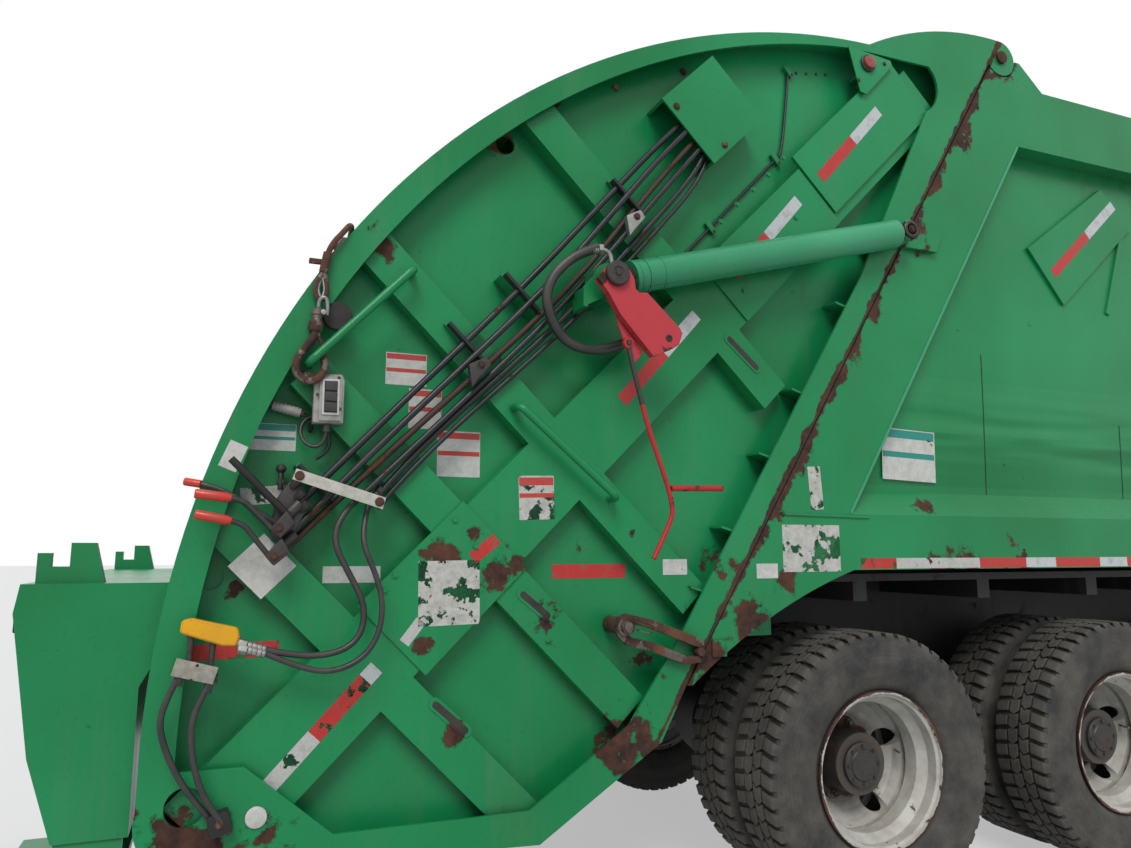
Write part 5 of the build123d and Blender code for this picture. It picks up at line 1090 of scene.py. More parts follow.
BODY_STICKERS = (
    (0.32, 1.76, 0.29, 0.22, 1.0835, -2, white_vinyl, teal_vinyl, ((0.82, 0.98), (0.44, 0.55))),
    (-0.265, 1.365, 0.27, 0.18, RIM_Y, 0, old_vinyl),
    (-0.474, 1.28, 0.095, 0.055, RIM_Y, 0, white_vinyl),
    (-0.235, 1.6, 0.06, 0.17, RIM_Y, 4, old_vinyl),
)
RIB_SLOTS = (((-1.457, 1.224), (-1.333, 1.122)), ((-1.75, 0.884), (-1.616, 0.766)),
    ((-0.612, 2.191), (-0.455, 2.055)))
EDGE_BOLTS = mm(2, -317, 2970, -394, 2882, -470, 2805, -549, 2729, -626, 2646, -259, 2722, -374, 2564,
    -524, 2378)
COVER_BOLTS = mm(2, -1875, 1279, -1682, 1457, -1530, 1330, -1765, 1045, -1905, 1232, -1610, 1370)


def turned_corners(x, z, width, height, tilt):
    turn = Matrix.Rotation(math.radians(tilt), 2)
    corners = [Vector((sx * width / 2, sz * height / 2)) for sx, sz in ((-1, -1), (1, -1), (1, 1), (-1, 1))]
    return [tuple(Vector((x, z)) + turn @ corner) for corner in corners]


def lay_tape(piece, start, end, width, y, parts):
    for low, high, finish in parts:
        piece.film(strip(along(start, end, low), along(start, end, high), width), y, finish)


def lay_sticker(piece, x, z, width, height, y, tilt, film, ink=None, bands=()):
    piece.film(turned_corners(x, z, width, height, tilt), y, film)
    turn = Matrix.Rotation(math.radians(tilt), 2)
    for low, high in bands:
        middle = Vector((x, z)) + turn @ Vector((0, height * ((low + high) / 2 - 0.5)))
        piece.film(turned_corners(*middle, width * 0.97, height * (high - low), tilt), y + 0.0006, ink,
            0.0004)


def slot_hole(piece, start, end, y):
    """A long slot with a raised lip; a black rubber sheet inside the lip is painted shade for its opening."""
    run = Vector(end) - Vector(start)
    turn = math.atan2(run.y, run.x)
    lip = (0.021, 1.0, y, y + 0.003, green_tailgate)
    # A black sheet inside the lip: painted shade standing for the open slot.
    opening_shade = (0.012, 0.96, y + 0.0025, y + 0.0035, seal_rubber)
    for radius, length, low, high, finish in (lip, opening_shade):
        outline = []
        for number in range(24):
            angle = math.tau * number / 24
            reach = run.length / 2 * length - 0.021
            end_x = reach if math.cos(angle) >= 0 else -reach
            outline.append((end_x + radius * math.cos(angle), radius * math.sin(angle)))
        middle = (Vector(start) + Vector(end)) / 2
        placed = [tuple(middle + Matrix.Rotation(turn, 2) @ Vector(point)) for point in outline]
        piece.slab(finish, placed, low, high, 0.001, 1)


def make_side_films():
    for side, word in SIDES:
        films = Piece(f"tailgate_films_{word}", "tailgate", "trim", side)
        for tape in TAPES:
            lay_tape(films, *tape)
        for number, sticker in enumerate(STICKERS):
            if side < 0 or number in LEFT_STICKERS:
                lay_sticker(films, *sticker)
        films.done()
        fittings = Piece(f"tailgate_side_fittings_{word}", "tailgate", "bare_steel", side)
        for start, end in RIB_SLOTS:
            slot_hole(fittings, start, end, RIB_Y)
        fittings.bolted(green_tailgate, [(x, EDGE_PLATE_Y, z) for x, z in EDGE_BOLTS[:5]], 0.009, 2)
        fittings.peg(green_tailgate, -2.424, 1.278, 1.0495, 1.0525, 0.041, 48)
        # Four black discs on the plate: painted shade standing for four holes.
        for x, z in mm(2, -166, 3430, -112, 3439, -58, 3449, -8, 3457):
            fittings.peg(seal_rubber, x, z, PLATE_Y - 0.0005, PLATE_Y + 0.0012, 0.0075, 20)
        if side < 0:
            fittings.bolted(rusty_steel, in_plane(1.192, -842, 3069, -629, 2949), 0.011, 8)
        fittings.bolted(rusty_steel, in_plane(PLATE_Y, -1044, 3174, -734, 3311, -1292, 3057), 0.012, 6)
        fittings.bolted(green_tailgate, [(x, COVER_Y, z) for x, z in EDGE_BOLTS[5:] + COVER_BOLTS], 0.009, 4)
        fittings.lathed(white_vinyl, (-2.261, RIM_Y, 0.593), mm(2, 0, 0, 30, 0, 30, 6, 26, 8, 0, 8), 40)
        fittings.done()
        body_films = Piece(f"body_films_{word}", "chassis", "trim", side)
        for low, high, finish in RAIL_TAPE:
            body_films.film([(low, 1.284), (high, 1.284), (high, 1.326), (low, 1.326)], RIM_Y, finish)
        lay_tape(body_films, (1.74, 3.1), (1.268, 2.68), 0.05, 1.1, WHITE_AND_RED)
        for sticker in BODY_STICKERS:
            lay_sticker(body_films, *sticker)
        body_films.done()


def make_seam():
    """A black rubber strip in the joint between tailgate and body, its seal and painted shade of the gap, and
    the rusty lip along the joint.
    """
    for side, word in SIDES:
        piece = Piece(f"seam_seal_{word}", "tailgate", "trim", side)
        foot, top = SEAM_FOOT.xz, Vector((0.78, 3.5))
        run = (top - foot).normalized()
        ahead = Vector((run.y, -run.x)) * 0.0045
        # The black strip fills the gap: a seal, and painted shade of the joint.
        piece.slab(seal_rubber, strip(foot + ahead + run * 0.02, top + ahead, 0.007), 1.062, RIM_Y - 0.0005,
            0.002)
        weld = bmesh.new()
        bmesh.ops.create_uvsphere(weld, u_segments=8, v_segments=5, radius=0.006)
        bmesh.ops.scale(weld, verts=weld.verts, vec=(1.0, 0.5, 1.0))
        start = foot - ahead * 7 + run * 0.05
        step = run * 0.0105
        bead = row_of(weld, 255, (step.x, 0.0, step.y))
        piece.add(moved(bead, start.x, RIM_Y - 0.002, start.y), green_tailgate)
        piece.done()


# Lift cylinders, prop and latch


def make_lift_details():
    base, eye = Vector((0.232, 2.697)), LIFT_EYE
    run = (eye - base).normalized()
    for side, word in SIDES:
        barrel = Piece(f"lift_barrel_{word}_rings", "lift_barrels", "green_paint", side)
        mouth = eye - run * 0.108

        def at(distance):
            place = mouth - run * distance
            return (place.x, LIFT_Y, place.y)

        for near, far, radius in ((0.0, 0.018, 0.0632), (0.02, 0.05, 0.0618), (0.052, 0.058, 0.0632),
                (0.118, 0.124, 0.0618)):
            barrel.bar(green_barrel, at(far), at(near), radius, 64, 0.0018)
        # A black ring at the barrel's mouth: the rod's seal, and painted shade of the recessed gland.
        barrel.bar(seal_rubber, at(0.001), at(-0.008), 0.04, 48, 0.002)
        elbow = Vector(at(0.085)) + Vector((0.016, 0, -0.058))
        barrel.bar(green_barrel, at(0.085), elbow, 0.016, 24, 0.002)
        barrel.lathed(dark_steel, (base.x, 1.257, base.y), mm(2, 0, 0, 37, 0, 37, 9, 32, 13, 0, 13), 48)
        barrel.bolted(rusty_steel, [(base.x, 1.268, base.y)], 0.013, 2)
        barrel.done()
        neck = Piece(f"lift_rod_{word}_neck", "lift_rods", "green_paint", side)
        near, far = eye - run * 0.04, eye - run * 0.084
        neck.bar(green_barrel, (near.x, LIFT_Y, near.y), (far.x, LIFT_Y, far.y), 0.037, 48, 0.003)
        neck.done()
    pin = Piece("prop_pin_cap", "tailgate", "cast_iron")
    pin.lathed(dark_steel, (eye.x, 1.3285, eye.y), mm(2, 0, 0, 40, 0, 44, 4, 44, 16, 40, 21, 22, 22, 18, 18,
        12, 18, 10, 22, 0, 23), 56)
    pin.done()
    left_cap = Piece("lift_pin_cap_left", "tailgate", "cast_iron", 1)
    left_cap.lathed(dark_steel, (eye.x, 1.325, eye.y), mm(2, 0, 0, 40, 0, 40, 8, 0, 9), 48)
    left_cap.done()


def make_latches():
    for side, word in SIDES:
        piece = Piece(f"tailgate_latch_{word}", "tailgate", "bare_steel", side)
        upper = mm(2, -1118, 1100, -1108, 1128, -1080, 1140, -985, 1118, -800, 1050, -776, 1034, -780, 1008,
            -806, 1018, -990, 1088, -1075, 1108, -1094, 1092)
        piece.slab(rusty_steel, upper, 1.166, 1.196, 0.003)
        lower = mm(2, -1118, 1094, -1094, 1090, -1060, 1058, -985, 1042, -842, 985, -790, 985, -786, 962,
            -850, 958, -995, 1012, -1075, 1030, -1112, 1062)
        piece.slab(rusty_steel, lower, 1.168, 1.192, 0.003)
        piece.peg(rusty_steel, -1.085, 1.096, PLATE_Y, 1.192, 0.03, 40, 0.003)
        piece.peg(rusty_steel, -1.085, 1.096, 1.19, 1.222, 0.016, 24, 0.002)
        piece.bolted(rusty_steel, [(-1.085, 1.196, 1.096)], 0.024, 7)
        piece.peg(rusty_steel, -0.792, 1.0, 1.162, 1.205, 0.015, 24, 0.002)
        clip = mm(3, -1098, 1212, 1110, -1070, 1220, 1092, -1010, 1222, 1070, -985, 1222, 1082,
            -990, 1222, 1100, -1072, 1214, 1130)
        piece.pipe(rusty_steel, clip, 0.0035, 3, 8)
        piece.done(("tailgate_latches",) if side < 0 else ())


make_hubs()
make_side_films()
make_seam()
make_lift_details()
make_latches()


# Hydraulics and controls on the tailgate's right side


PIPES = (
    # y out, radius, finish, and the route in (x, z) from under the cover down to the valves
    (1.158, 0.0115, pipe_paint,
        mm(2, -813, 3013, -901, 2926, -1180, 2600, -1468, 2265, -2063, 1634, -2226, 1449)),
    (1.176, 0.0115, pipe_paint,
        mm(2, -762, 3011, -866, 2907, -1130, 2580, -1393, 2256, -2001, 1636, -2217, 1389)),
    (1.158, 0.011, pipe_rust,
        mm(2, -714, 2991, -813, 2888, -1065, 2567, -1317, 2246, -1923, 1662, -2202, 1374)),
    (1.172, 0.0105, pipe_paint,
        mm(2, -714, 2942, -781, 2864, -1053, 2533, -1325, 2202, -1909, 1612, -2024, 1498)),
    (1.158, 0.0105, pipe_paint,
        mm(2, -705, 2911, -737, 2830, -1011, 2509, -1286, 2188, -1846, 1663, -1962, 1499)),
    (1.15, 0.0085, pipe_paint,
        mm(2, -691, 2890, -712, 2806, -985, 2488, -1262, 2170, -1822, 1645, -1940, 1490)),
    (1.07, 0.006, pipe_paint,
        mm(2, -215, 3439, -259, 3042, -301, 2998, -620, 2658, -862, 2402, -1000, 2240)),
)
HOSES = (
    # radius and the route in (x, y out, z) of each hose from the pipes' ends to the yellow valve and on down
    (0.0098, mm(3, -2020, 1178, 1505, -2067, 1195, 1450, -2076, 1200, 1374, -2025, 1205, 1282,
        -1976, 1205, 1191, -1984, 1205, 1100, -2046, 1210, 1052, -2162, 1215, 1045, -2262, 1225, 1072)),
    (0.0088, mm(3, -1968, 1160, 1508, -1989, 1200, 1440, -1989, 1220, 1370, -1955, 1225, 1297,
        -1925, 1225, 1206, -1932, 1225, 1105, -1983, 1225, 1030, -2076, 1225, 996, -2176, 1225, 1021,
        -2262, 1225, 1062)),
    (0.009, mm(3, -2492, 1225, 1000, -2516, 1225, 946, -2530, 1225, 888, -2516, 1225, 826, -2479, 1220, 743,
        -2434, 1205, 673, -2384, 1190, 610, -2352, 1178, 560)),
    (0.009, mm(3, -2405, 1225, 990, -2429, 1225, 940, -2450, 1225, 874, -2440, 1225, 780, -2415, 1220, 698,
        -2375, 1205, 627, -2330, 1190, 565)),
)
WHITE_BAR = mm(2, -2198, 1603, -2209, 1570, -1936, 1484, -1926, 1520)
TAG_PLATE = mm(2, -2495, 1060, -2385, 1029, -2398, 983, -2508, 1013)


def slant(p_low, p_high, q_low, q_high):
    """The corners of a box across the diagonal, in millimetres along and across it."""
    root = math.sqrt(2) * 1000
    return [((p + q) / root, (p - q) / root) for p, q in ((p_low, q_low), (p_high, q_low), (p_high, q_high),
        (p_low, q_high))]


def ferrule(start, end, radius):
    """A crimped hose end with its grooves and the hexagon nut at its foot."""
    start, end = Vector(start), Vector(end)
    whole = bmesh.new()
    for low, high, size, sides in ((0.0, 0.12, 0.92, 24), (0.14, 0.3, 1.0, 24), (0.32, 0.48, 1.0, 24),
            (0.5, 0.64, 0.98, 24), (0.68, 1.0, 1.25, 6)):
        poured(straight(start.lerp(end, low), start.lerp(end, high), radius * size, sides, 0.0008), whole)
    return whole


def make_pipes():
    piece = Piece("hydraulic_pipes", "tailgate", "black_paint")
    for y, radius, finish, route in PIPES:
        piece.pipe(finish, [(x, y, z) for x, z in route], radius, 4, 8)
    for p, base, low in ((1150, RIB_Y, -2725), (560, PLATE_Y, -2725), (280, RIB_Y, -2725),
            (-400, PLATE_Y, -2700)):
        piece.slab(green_tailgate, slant(p - 8, p + 8, low, -2532), base, 1.146, 0.002)
        piece.slab(black_trim_paint, slant(p - 6, p + 6, low + 8, -2540), 1.146, 1.18, 0.002)
    for x, z in mm(2, -216, 3420, -301, 3000, -630, 2648):
        piece.slab(green_tailgate, strip((x - 0.018, z + 0.02), (x + 0.018, z - 0.02), 0.022), PLATE_Y,
            1.079, 0.002)
        piece.bolted(rusty_steel, [(x + 0.014, 1.079, z - 0.015)], 0.005, 2)
    for x, z, finish in ((0.0, 0.0, zinc), (-0.59, -0.61, dark_steel)):
        block = mm(2, -1072, 2582, -1014, 2612, -996, 2586, -1040, 2532, -1060, 2505)
        piece.add(moved(solid(block, 1.186, 1.212, 0.003), x, 0.0, z), finish)
        piece.bolted(rusty_steel, [(-1.03 + x, 1.212, 2.583 + z)], 0.01, 2)
    for radius, route in HOSES:
        piece.pipe(hose_rubber, route, radius, 5, 10)
    yellow = mm(2, -2489, 1161, -2464, 1168, -2338, 1137, -2333, 1112, -2340, 1086, -2381, 1089, -2492, 1128)
    piece.slab(yellow_valve, yellow, 1.2, 1.246, 0.011, 3)
    piece.slab(dark_steel, mm(2, -2480, 1150, -2350, 1118, -2350, 1096, -2480, 1120), RIM_Y, 1.204, 0.003)
    for start, end in (in_plane(1.226, -2262, 1072, -2338, 1094), in_plane(1.23, -2262, 1060, -2336, 1080)):
        piece.add(ferrule(start, end, 0.0125), zinc)
    for x in (-2.461, -2.403):
        piece.bar(dark_steel, (x, 1.222, 1.12 + (x + 2.461) * -0.3), (x - 0.004, 1.222, 1.03), 0.0085, 20)
    piece.slab(tag_metal, TAG_PLATE, 1.232, 1.238, 0.001)
    for x, z in ((-2.441, 1.037), (-2.455, 0.998)):
        piece.lathed(seal_rubber, (x, 1.2375, z), [(0.0, 0.0), (0.0048, 0.0), (0.004, 0.0012),
            (0.0, 0.0012)], 20)
    for x, z in ((-2.486, 1.012), (-2.407, 0.99)):
        piece.bar(dark_steel, (x + 0.004, 1.222, z + 0.022), (x - 0.004, 1.222, z - 0.03), 0.0125, 6, 0.001)
        piece.slab(dark_steel, [(x - 0.014, z - 0.006), (x + 0.022, z - 0.006), (x + 0.022, z + 0.014),
            (x - 0.014, z + 0.014)], RIM_Y, 1.222, 0.002)
    clamp = mm(2, -2397, 617, -2339, 631, -2322, 577, -2380, 555)
    piece.slab(black_trim_paint, clamp, RIM_Y, 1.206, 0.005)
    piece.bolted(rusty_steel, [(-2.36, 1.206, 0.595)], 0.009, 5)
    for start, end in (mm(3, -2016, 1178, 1509, -1985, 1176, 1542),
            mm(3, -1964, 1160, 1512, -1930, 1158, 1555)):
        piece.add(ferrule(start, end, 0.012), dark_steel)
    piece.slab(cream_bar, WHITE_BAR, 1.222, 1.228, 0.0015)
    for x, z in ((-2.188, 1.581), (-1.946, 1.507)):
        piece.peg(dark_steel, x, z, 1.06, 1.222, 0.008, 16)
        piece.lathed(rusty_steel, (x, 1.228, z), mm(2, 0, 0, 14.5, 0, 14.5, 3, 11, 6, 0, 7), 32)
    piece.done(("pipe_run",))
    loop = Piece("lift_cylinder_hose", "tailgate", "black_paint")
    route = mm(3, -1216, 1262, 2420, -1262, 1262, 2400, -1318, 1258, 2366, -1376, 1250, 2306,
        -1400, 1240, 2238, -1386, 1228, 2175, -1346, 1216, 2108, -1286, 1205, 2070, -1215, 1198, 2062,
        -1130, 1190, 2076, -1060, 1182, 2110)
    loop.pipe(hose_rubber, route, 0.018, 5, 12)
    loop.add(ferrule((-1.246, 1.262, 2.408), (-1.196, 1.262, 2.416), 0.017), zinc)
    elbow = in_plane(1.262, -1200, 2416, -1176, 2414, -1160, 2394, -1158, 2352)
    loop.pipe(zinc, elbow, 0.0085, 4, 8)
    loop.bar(zinc, (-1.158, 1.262, 2.366), (-1.158, 1.262, 2.346), 0.013, 6, 0.001)
    loop.done()


LEVERS = (
    # tip and heel of each grip, and the bends of its rod, in (x, z)
    ((-2.476, 1.519), (-2.375, 1.508), mm(2, -2380, 1508, -2345, 1503, -2318, 1478, -2263, 1424,
        -2235, 1397)),
    ((-2.472, 1.46), (-2.369, 1.441), mm(2, -2374, 1441, -2341, 1435, -2315, 1402, -2269, 1345, -2250, 1325)),
)


def make_levers():
    piece = Piece("packer_levers", "tailgate", "red_paint")
    for tip, heel, bend in LEVERS:
        run = Vector(heel) - Vector(tip)
        grip = turned(mm(2, 0, 0, 11.5, 0, 14, 4, 14.5, 85, 10.5, 100, 0, 102), 32)
        piece.add(moved(aimed(grip, (run.x, 0, run.y)), tip[0], 1.25, tip[1]), red_grip)
        piece.pipe(dark_steel, [(x, 1.25 - 0.02 * number / 4, z) for number, (x, z) in enumerate(bend)],
            0.0082, 4, 8)
    piece.bar(red_grip, (-2.508, 1.15, 1.56), (-2.462, 1.168, 1.552), 0.012, 24, 0.003)
    piece.pipe(dark_steel, mm(3, -2462, 1168, 1552, -2400, 1180, 1540, -2300, 1185, 1470, -2245, 1185, 1440),
        0.0075, 4, 8)
    piece.bar(black_trim_paint, (-2.384, 1.222, 1.626), (-2.216, 1.215, 1.462), 0.0112, 28, 0.002)
    clevises = (mm(2, -2276, 1341, -2250, 1312, -2205, 1352, -2232, 1394),
        mm(2, -2262, 1425, -2236, 1393, -2196, 1440, -2222, 1474))
    for number, corners in enumerate(clevises):
        piece.slab(dark_steel, corners, 1.186, 1.246, 0.005)
        middle = [sum(values) / 4 for values in zip(*corners)]
        piece.bolted(rusty_steel, [(middle[0] - 0.012, 1.246, middle[1] - 0.01)], 0.01, number)
    piece.bar(dark_steel, (-2.231, 1.196, 1.368), (-2.19, 1.19, 1.406), 0.0165, 24, 0.002)
    piece.bar(dark_steel, (-2.222, 1.19, 1.455), (-2.18, 1.19, 1.5), 0.018, 24, 0.002)
    body = mm(2, -2262, 1392, -2205, 1385, -2165, 1470, -2170, 1552, -2214, 1566, -2248, 1512)
    piece.slab(dark_steel, body, RIB_Y - 0.07, 1.19, 0.008)
    for x, z in mm(2, -2206, 1548, -2192, 1512, -2178, 1478):
        piece.bar(dark_steel, (x, 1.185, z), (x + 0.02, 1.205, z + 0.022), 0.0125, 6, 0.001)
    piece.peg(dark_steel, -2.235, 1.572, PLATE_Y, 1.105, 0.01, 20)
    piece.bar(dark_steel, (-2.235, 1.098, 1.545), (-2.235, 1.098, 1.606), 0.0085, 20, 0.002)
    knob = turned(mm(2, 0, -16, 10, -12.5, 16, -4, 16, 4, 10, 12.5, 0, 16), 28)
    piece.add(moved(spun(knob, "X", math.pi / 2), -2.235, 1.098, 1.612), black_plastic)
    piece.done(("control_levers",))


def make_switch_box():
    piece = Piece("switch_box", "tailgate", "trim")
    case = mm(2, -2152, 1909, -2067, 1913, -2059, 1894, -2059, 1755, -2152, 1753)
    piece.slab(grey_plastic, case, RIB_Y, 1.172, 0.006, 3)
    face = mm(2, -2136, 1902, -2072, 1905, -2067, 1890, -2067, 1762, -2136, 1760)
    piece.slab(grey_plastic, face, 1.172, 1.179, 0.003)
    frame_corners = mm(2, -2128, 1893, -2076, 1895, -2074, 1780, -2127, 1779)
    piece.slab(white_vinyl, frame_corners, 1.179, 1.184, 0.0015)
    piece.slab(seal_rubber, mm(2, -2122, 1887, -2082, 1888, -2081, 1787, -2121, 1786), 1.184, 1.1855)
    for low in (1.789, 1.823, 1.857):
        piece.block(black_plastic, -2.1195, -2.0835, 1.1855, 1.19, low, low + 0.029, 0.0022)
    screw = turned([(0.0, 0.0), (0.0052, 0.0), (0.0048, 0.0018), (0.0, 0.0022)], 20)
    for x, z in mm(2, -2078, 1900, -2142, 1842, -2071, 1800):
        piece.add(moved(screw.copy(), x, 1.179, z), dark_steel)
    screw.free()
    piece.bar(black_plastic, (-2.108, 1.15, 1.756), (-2.108, 1.15, 1.728), 0.0125, 24, 0.002)
    drop = mm(3, -2108, 1150, 1735, -2110, 1148, 1700, -2140, 1140, 1676, -2180, 1125, 1700,
        -2186, 1110, 1752, -2150, 1100, 1788, -2110, 1100, 1760, -2088, 1100, 1712, -2098, 1095, 1668,
        -2130, 1085, 1650)
    piece.pipe(hose_rubber, drop, 0.006, 4, 10)
    plug_start, plug_end = Vector((-2.27, 1.095, 1.813)), Vector((-2.184, 1.1, 1.792))
    for low, high, radius, finish in ((0.0, 1.0, 0.0145, grey_plastic), (-0.1, 0.05, 0.012, black_plastic),
            (0.95, 1.1, 0.012, black_plastic)):
        piece.bar(finish, plug_start.lerp(plug_end, low), plug_start.lerp(plug_end, high), radius, 28, 0.002)
    for share in (0.12, 0.26, 0.4, 0.54, 0.68, 0.82):
        piece.bar(grey_plastic, plug_start.lerp(plug_end, share), plug_start.lerp(plug_end, share + 0.06),
            0.0162, 28, 0.001)
    piece.pipe(hose_rubber, mm(3, -2276, 1095, 1815, -2305, 1095, 1820, -2330, 1090, 1800, -2345, 1080, 1785,
        -2350, 1066, 1770), 0.0065, 4, 8)
    piece.pipe(hose_rubber, mm(3, -2180, 1100, 1791, -2160, 1096, 1782, -2146, 1090, 1762,
        -2150, 1066, 1740), 0.0065, 4, 8)
    piece.done()


def make_winch_hook():
    """The rope over the rim, its thimble and shackle, and the swivel hook parked on the grab rail."""
    piece = Piece("winch_hook_and_rope", "tailgate", "bare_steel")
    y = WINCH_Y
    rope = ((-2.03, 0.86, 2.45), (-2.036, 0.98, 2.447), (-2.046, 1.1, 2.436), (-2.062, 1.166, 2.416),
        (-2.084, 1.184, 2.38), (-2.112, y, 2.345), (-2.131, y, 2.301), (-2.14, y, 2.24))
    piece.pipe(rusty_steel, rope, 0.0095, 4, 12)
    piece.bar(rusty_steel, (-2.129, y, 2.306), (-2.141, y, 2.238), 0.014, 24, 0.003)
    piece.pipe(rusty_steel, in_plane(y, -2141, 2240, -2160, 2205, -2164, 2165, -2146, 2140, -2128, 2165,
        -2128, 2200, -2139, 2240), 0.0085, 4, 12)
    piece.pipe(zinc, in_plane(y, -2143, 2226, -2155, 2196, -2153, 2166, -2143, 2153, -2135, 2170, -2136, 2198,
        -2142, 2226), 0.0048, 4, 12)
    piece.pipe(zinc, ((-2.146, y - 0.012, 2.098), (-2.152, y - 0.004, 2.13), (-2.146, y + 0.01, 2.152),
        (-2.13, y + 0.012, 2.155), (-2.122, y + 0.006, 2.13), (-2.124, y, 2.1)), 0.0062, 4, 12)
    piece.peg(zinc, -2.136, 2.104, y - 0.028, y + 0.02, 0.0085, 20, 0.002)
    swivel = turned(mm(2, 0, 0, 18, 2, 23, 10, 23, 32, 17, 40, 16, 52, 20, 58, 20, 74, 12, 80, 0, 82), 32)
    piece.add(moved(aimed(swivel, (0.12, 0, 1.0)), -2.159, y - 0.003, 2.04), rusty_steel)
    hook = in_plane(y, -2158, 2050, -2156, 2030, -2184, 1990, -2210, 1950, -2212, 1905, -2182, 1880,
        -2142, 1888, -2122, 1925, -2127, 1962, -2140, 1990)
    piece.pipe(rusty_steel, hook, 0.0125, 5, 12)
    piece.pipe(rusty_steel, in_plane(y, -2150, 2040, -2140, 2012, -2128, 1985, -2134, 1955), 0.006, 4, 8)
    piece.lathed(seal_rubber, (-2.088, 1.142, 2.108), mm(2, 0, 0, 46, 0, 48, 4, 48, 14, 44, 18, 0, 18), 48)
    piece.peg(dark_steel, -2.088, 2.108, PLATE_Y, 1.15, 0.014, 20)
    piece.block(rusty_steel, -2.185, -2.125, RIM_Y, 1.176, 2.27, 2.286, 0.003)
    piece.block(rusty_steel, -2.187, -2.151, RIB_Y, 1.18, 1.892, 1.91, 0.003)
    cheek = mm(2, -2085, 2430, -2000, 2395, -1985, 2440, -2010, 2480, -2050, 2478)
    for low in (0.8, 0.868):
        piece.slab(dark_steel, cheek, low, low + 0.012, 0.003)
    piece.peg(dark_steel, -2.032, 2.452, 0.806, 0.874, 0.022, 32, 0.002)
    piece.done(("winch_hook",))


# The safety prop


def make_prop():
    """The folded red channel that hangs from the lift cylinder's pin, and its pull rod."""
    piece = Piece("safety_prop_channel", "prop", "red_paint")
    face = mm(2, -1243, 2289, -1206, 2334, -1150, 2346, -1118, 2330, -1100, 2297, -1097, 2264, -1082, 2251,
        -1053, 2256, -990, 2199, -924, 2139, -914, 2121, -929, 2078, -955, 2061, -1008, 2036, -1033, 2028,
        -1055, 2053, -1105, 2107, -1158, 2166, -1202, 2238)
    piece.slab(red_prop, face, 1.3225, 1.3285, 0.0022)
    for number in range(5, len(face)):
        start, end = Vector(face[number]), Vector(face[(number + 1) % len(face)])
        if (end - start).length < 0.005 or number in (5, 6):
            continue
        run = (end - start).normalized()
        inward = Vector((run.y, -run.x)) * 0.0028
        corners = strip(start + inward, end + inward, 0.0055)
        piece.slab(red_prop, corners, 1.294, 1.3265, 0.0012, 1)
    flange = mm(2, -1163, 2166, -1098, 2098, -1058, 2048, -1074, 2022, -1100, 1998, -1120, 2040, -1136, 2090)
    piece.slab(red_prop, flange, 1.294, 1.3, 0.002)
    for x, z, y, radius in mm(4, -969, 2098, 1328.5, 12, -1113, 2076, 1300, 9):
        piece.lathed(seal_rubber, (x, y, z), [(0.0, 0.0), (radius, 0.0), (radius, 0.003),
            (radius * 0.62, 0.0035), (radius * 0.55, 0.001), (0.0, 0.001)], 32)
    piece.done(("safety_prop",))
    rod = Piece("prop_pull_rod", "prop_handle", "bare_steel")
    y = PULL_ROD_Y
    upper = in_plane(y, -1136, 2074, -1132, 2030, -1105, 1925, -1085, 1850)
    lower = in_plane(y, -1085, 1850, -1066, 1775, -1000, 1600, -972, 1500, -984, 1450, -1050, 1330)
    rod.pipe(dark_steel, upper, 0.0085, 4, 12)
    rod.pipe(red_rod, lower, 0.0085, 4, 12)
    rod.bar(red_rod, (-0.979, y, 1.567), (-0.776, y, 1.572), 0.0105, 28, 0.002)
    rod.lathed(red_rod, (-1.136, y, 2.062), mm(2, 10.5, -8, 20, -7, 22, 0, 20, 7, 10.5, 8), 40, True)
    rod.bolted(dark_steel, [(-1.136, y + 0.004, 2.062)], 0.009, 4)
    rod.done(("prop_handle",))


# Lamps


def lamp_lens(piece, x, z, y, radius, finish, depth=0.02):
    """A round lamp on its black base, facing out of the side."""
    base = turned([(0.0, 0.0), (radius * 1.28, 0.0), (radius * 1.28, depth * 0.5),
        (radius * 1.18, depth * 0.66), (0.0, depth * 0.66)], 48)
    glass = turned([(radius, depth * 0.5), (radius, depth), (radius * 0.9, depth * 1.3),
        (radius * 0.4, depth * 1.45), (0.0, depth * 1.48)], 48)
    piece.add(moved(base, x, y, z), black_plastic)
    piece.add(moved(glass, x, y, z), finish)


def make_tail_lamps():
    for side, word in SIDES:
        piece = Piece(f"lamps_rear_{word}", "tailgate", "lamp", side)
        bracket = mm(2, 39, 3548, 92, 3345, 125, 3338, 280, 3505, 272, 3529)
        piece.slab(green_tailgate, bracket, RIM_Y, 1.165, 0.002)
        lamp_lens(piece, 0.139, 3.484, 1.165, 0.03, red_lens, 0.018)
        piece.bolted(rusty_steel, in_plane(1.165, 85, 3395, 235, 3505), 0.007, 2)
        piece.block(green_tailgate, 0.12, 0.16, PLATE_Y, RIM_Y, 3.44, 3.46, 0.002)
        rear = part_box("tail_lamps")[0][0] - REAR_AXLE.x
        case = [(rear + 0.019, 0.83), (rear + 0.041, 0.83), (rear + 0.025, 0.93), (rear + 0.003, 0.93)]
        piece.slab(black_plastic, case, 0.7, 0.93, 0.003)
        for start, finish in ((0.704, clear_lens), (0.76, amber_lens), (0.816, red_lens), (0.872, red_lens)):
            face = [(rear + 0.0147, 0.838), (rear + 0.024, 0.838), (rear + 0.0095, 0.922),
                (rear + 0.0013, 0.922)]
            piece.slab(finish, face, start, start + 0.052, 0.002)
        piece.done(("tail_lamps",) if side < 0 else ())


make_pipes()
make_levers()
make_switch_box()
make_winch_hook()
make_prop()
make_tail_lamps()


# Cab


def set_at(x, y, z, shape):
    return moved(shape, FRONT_AXLE + x, y, z)


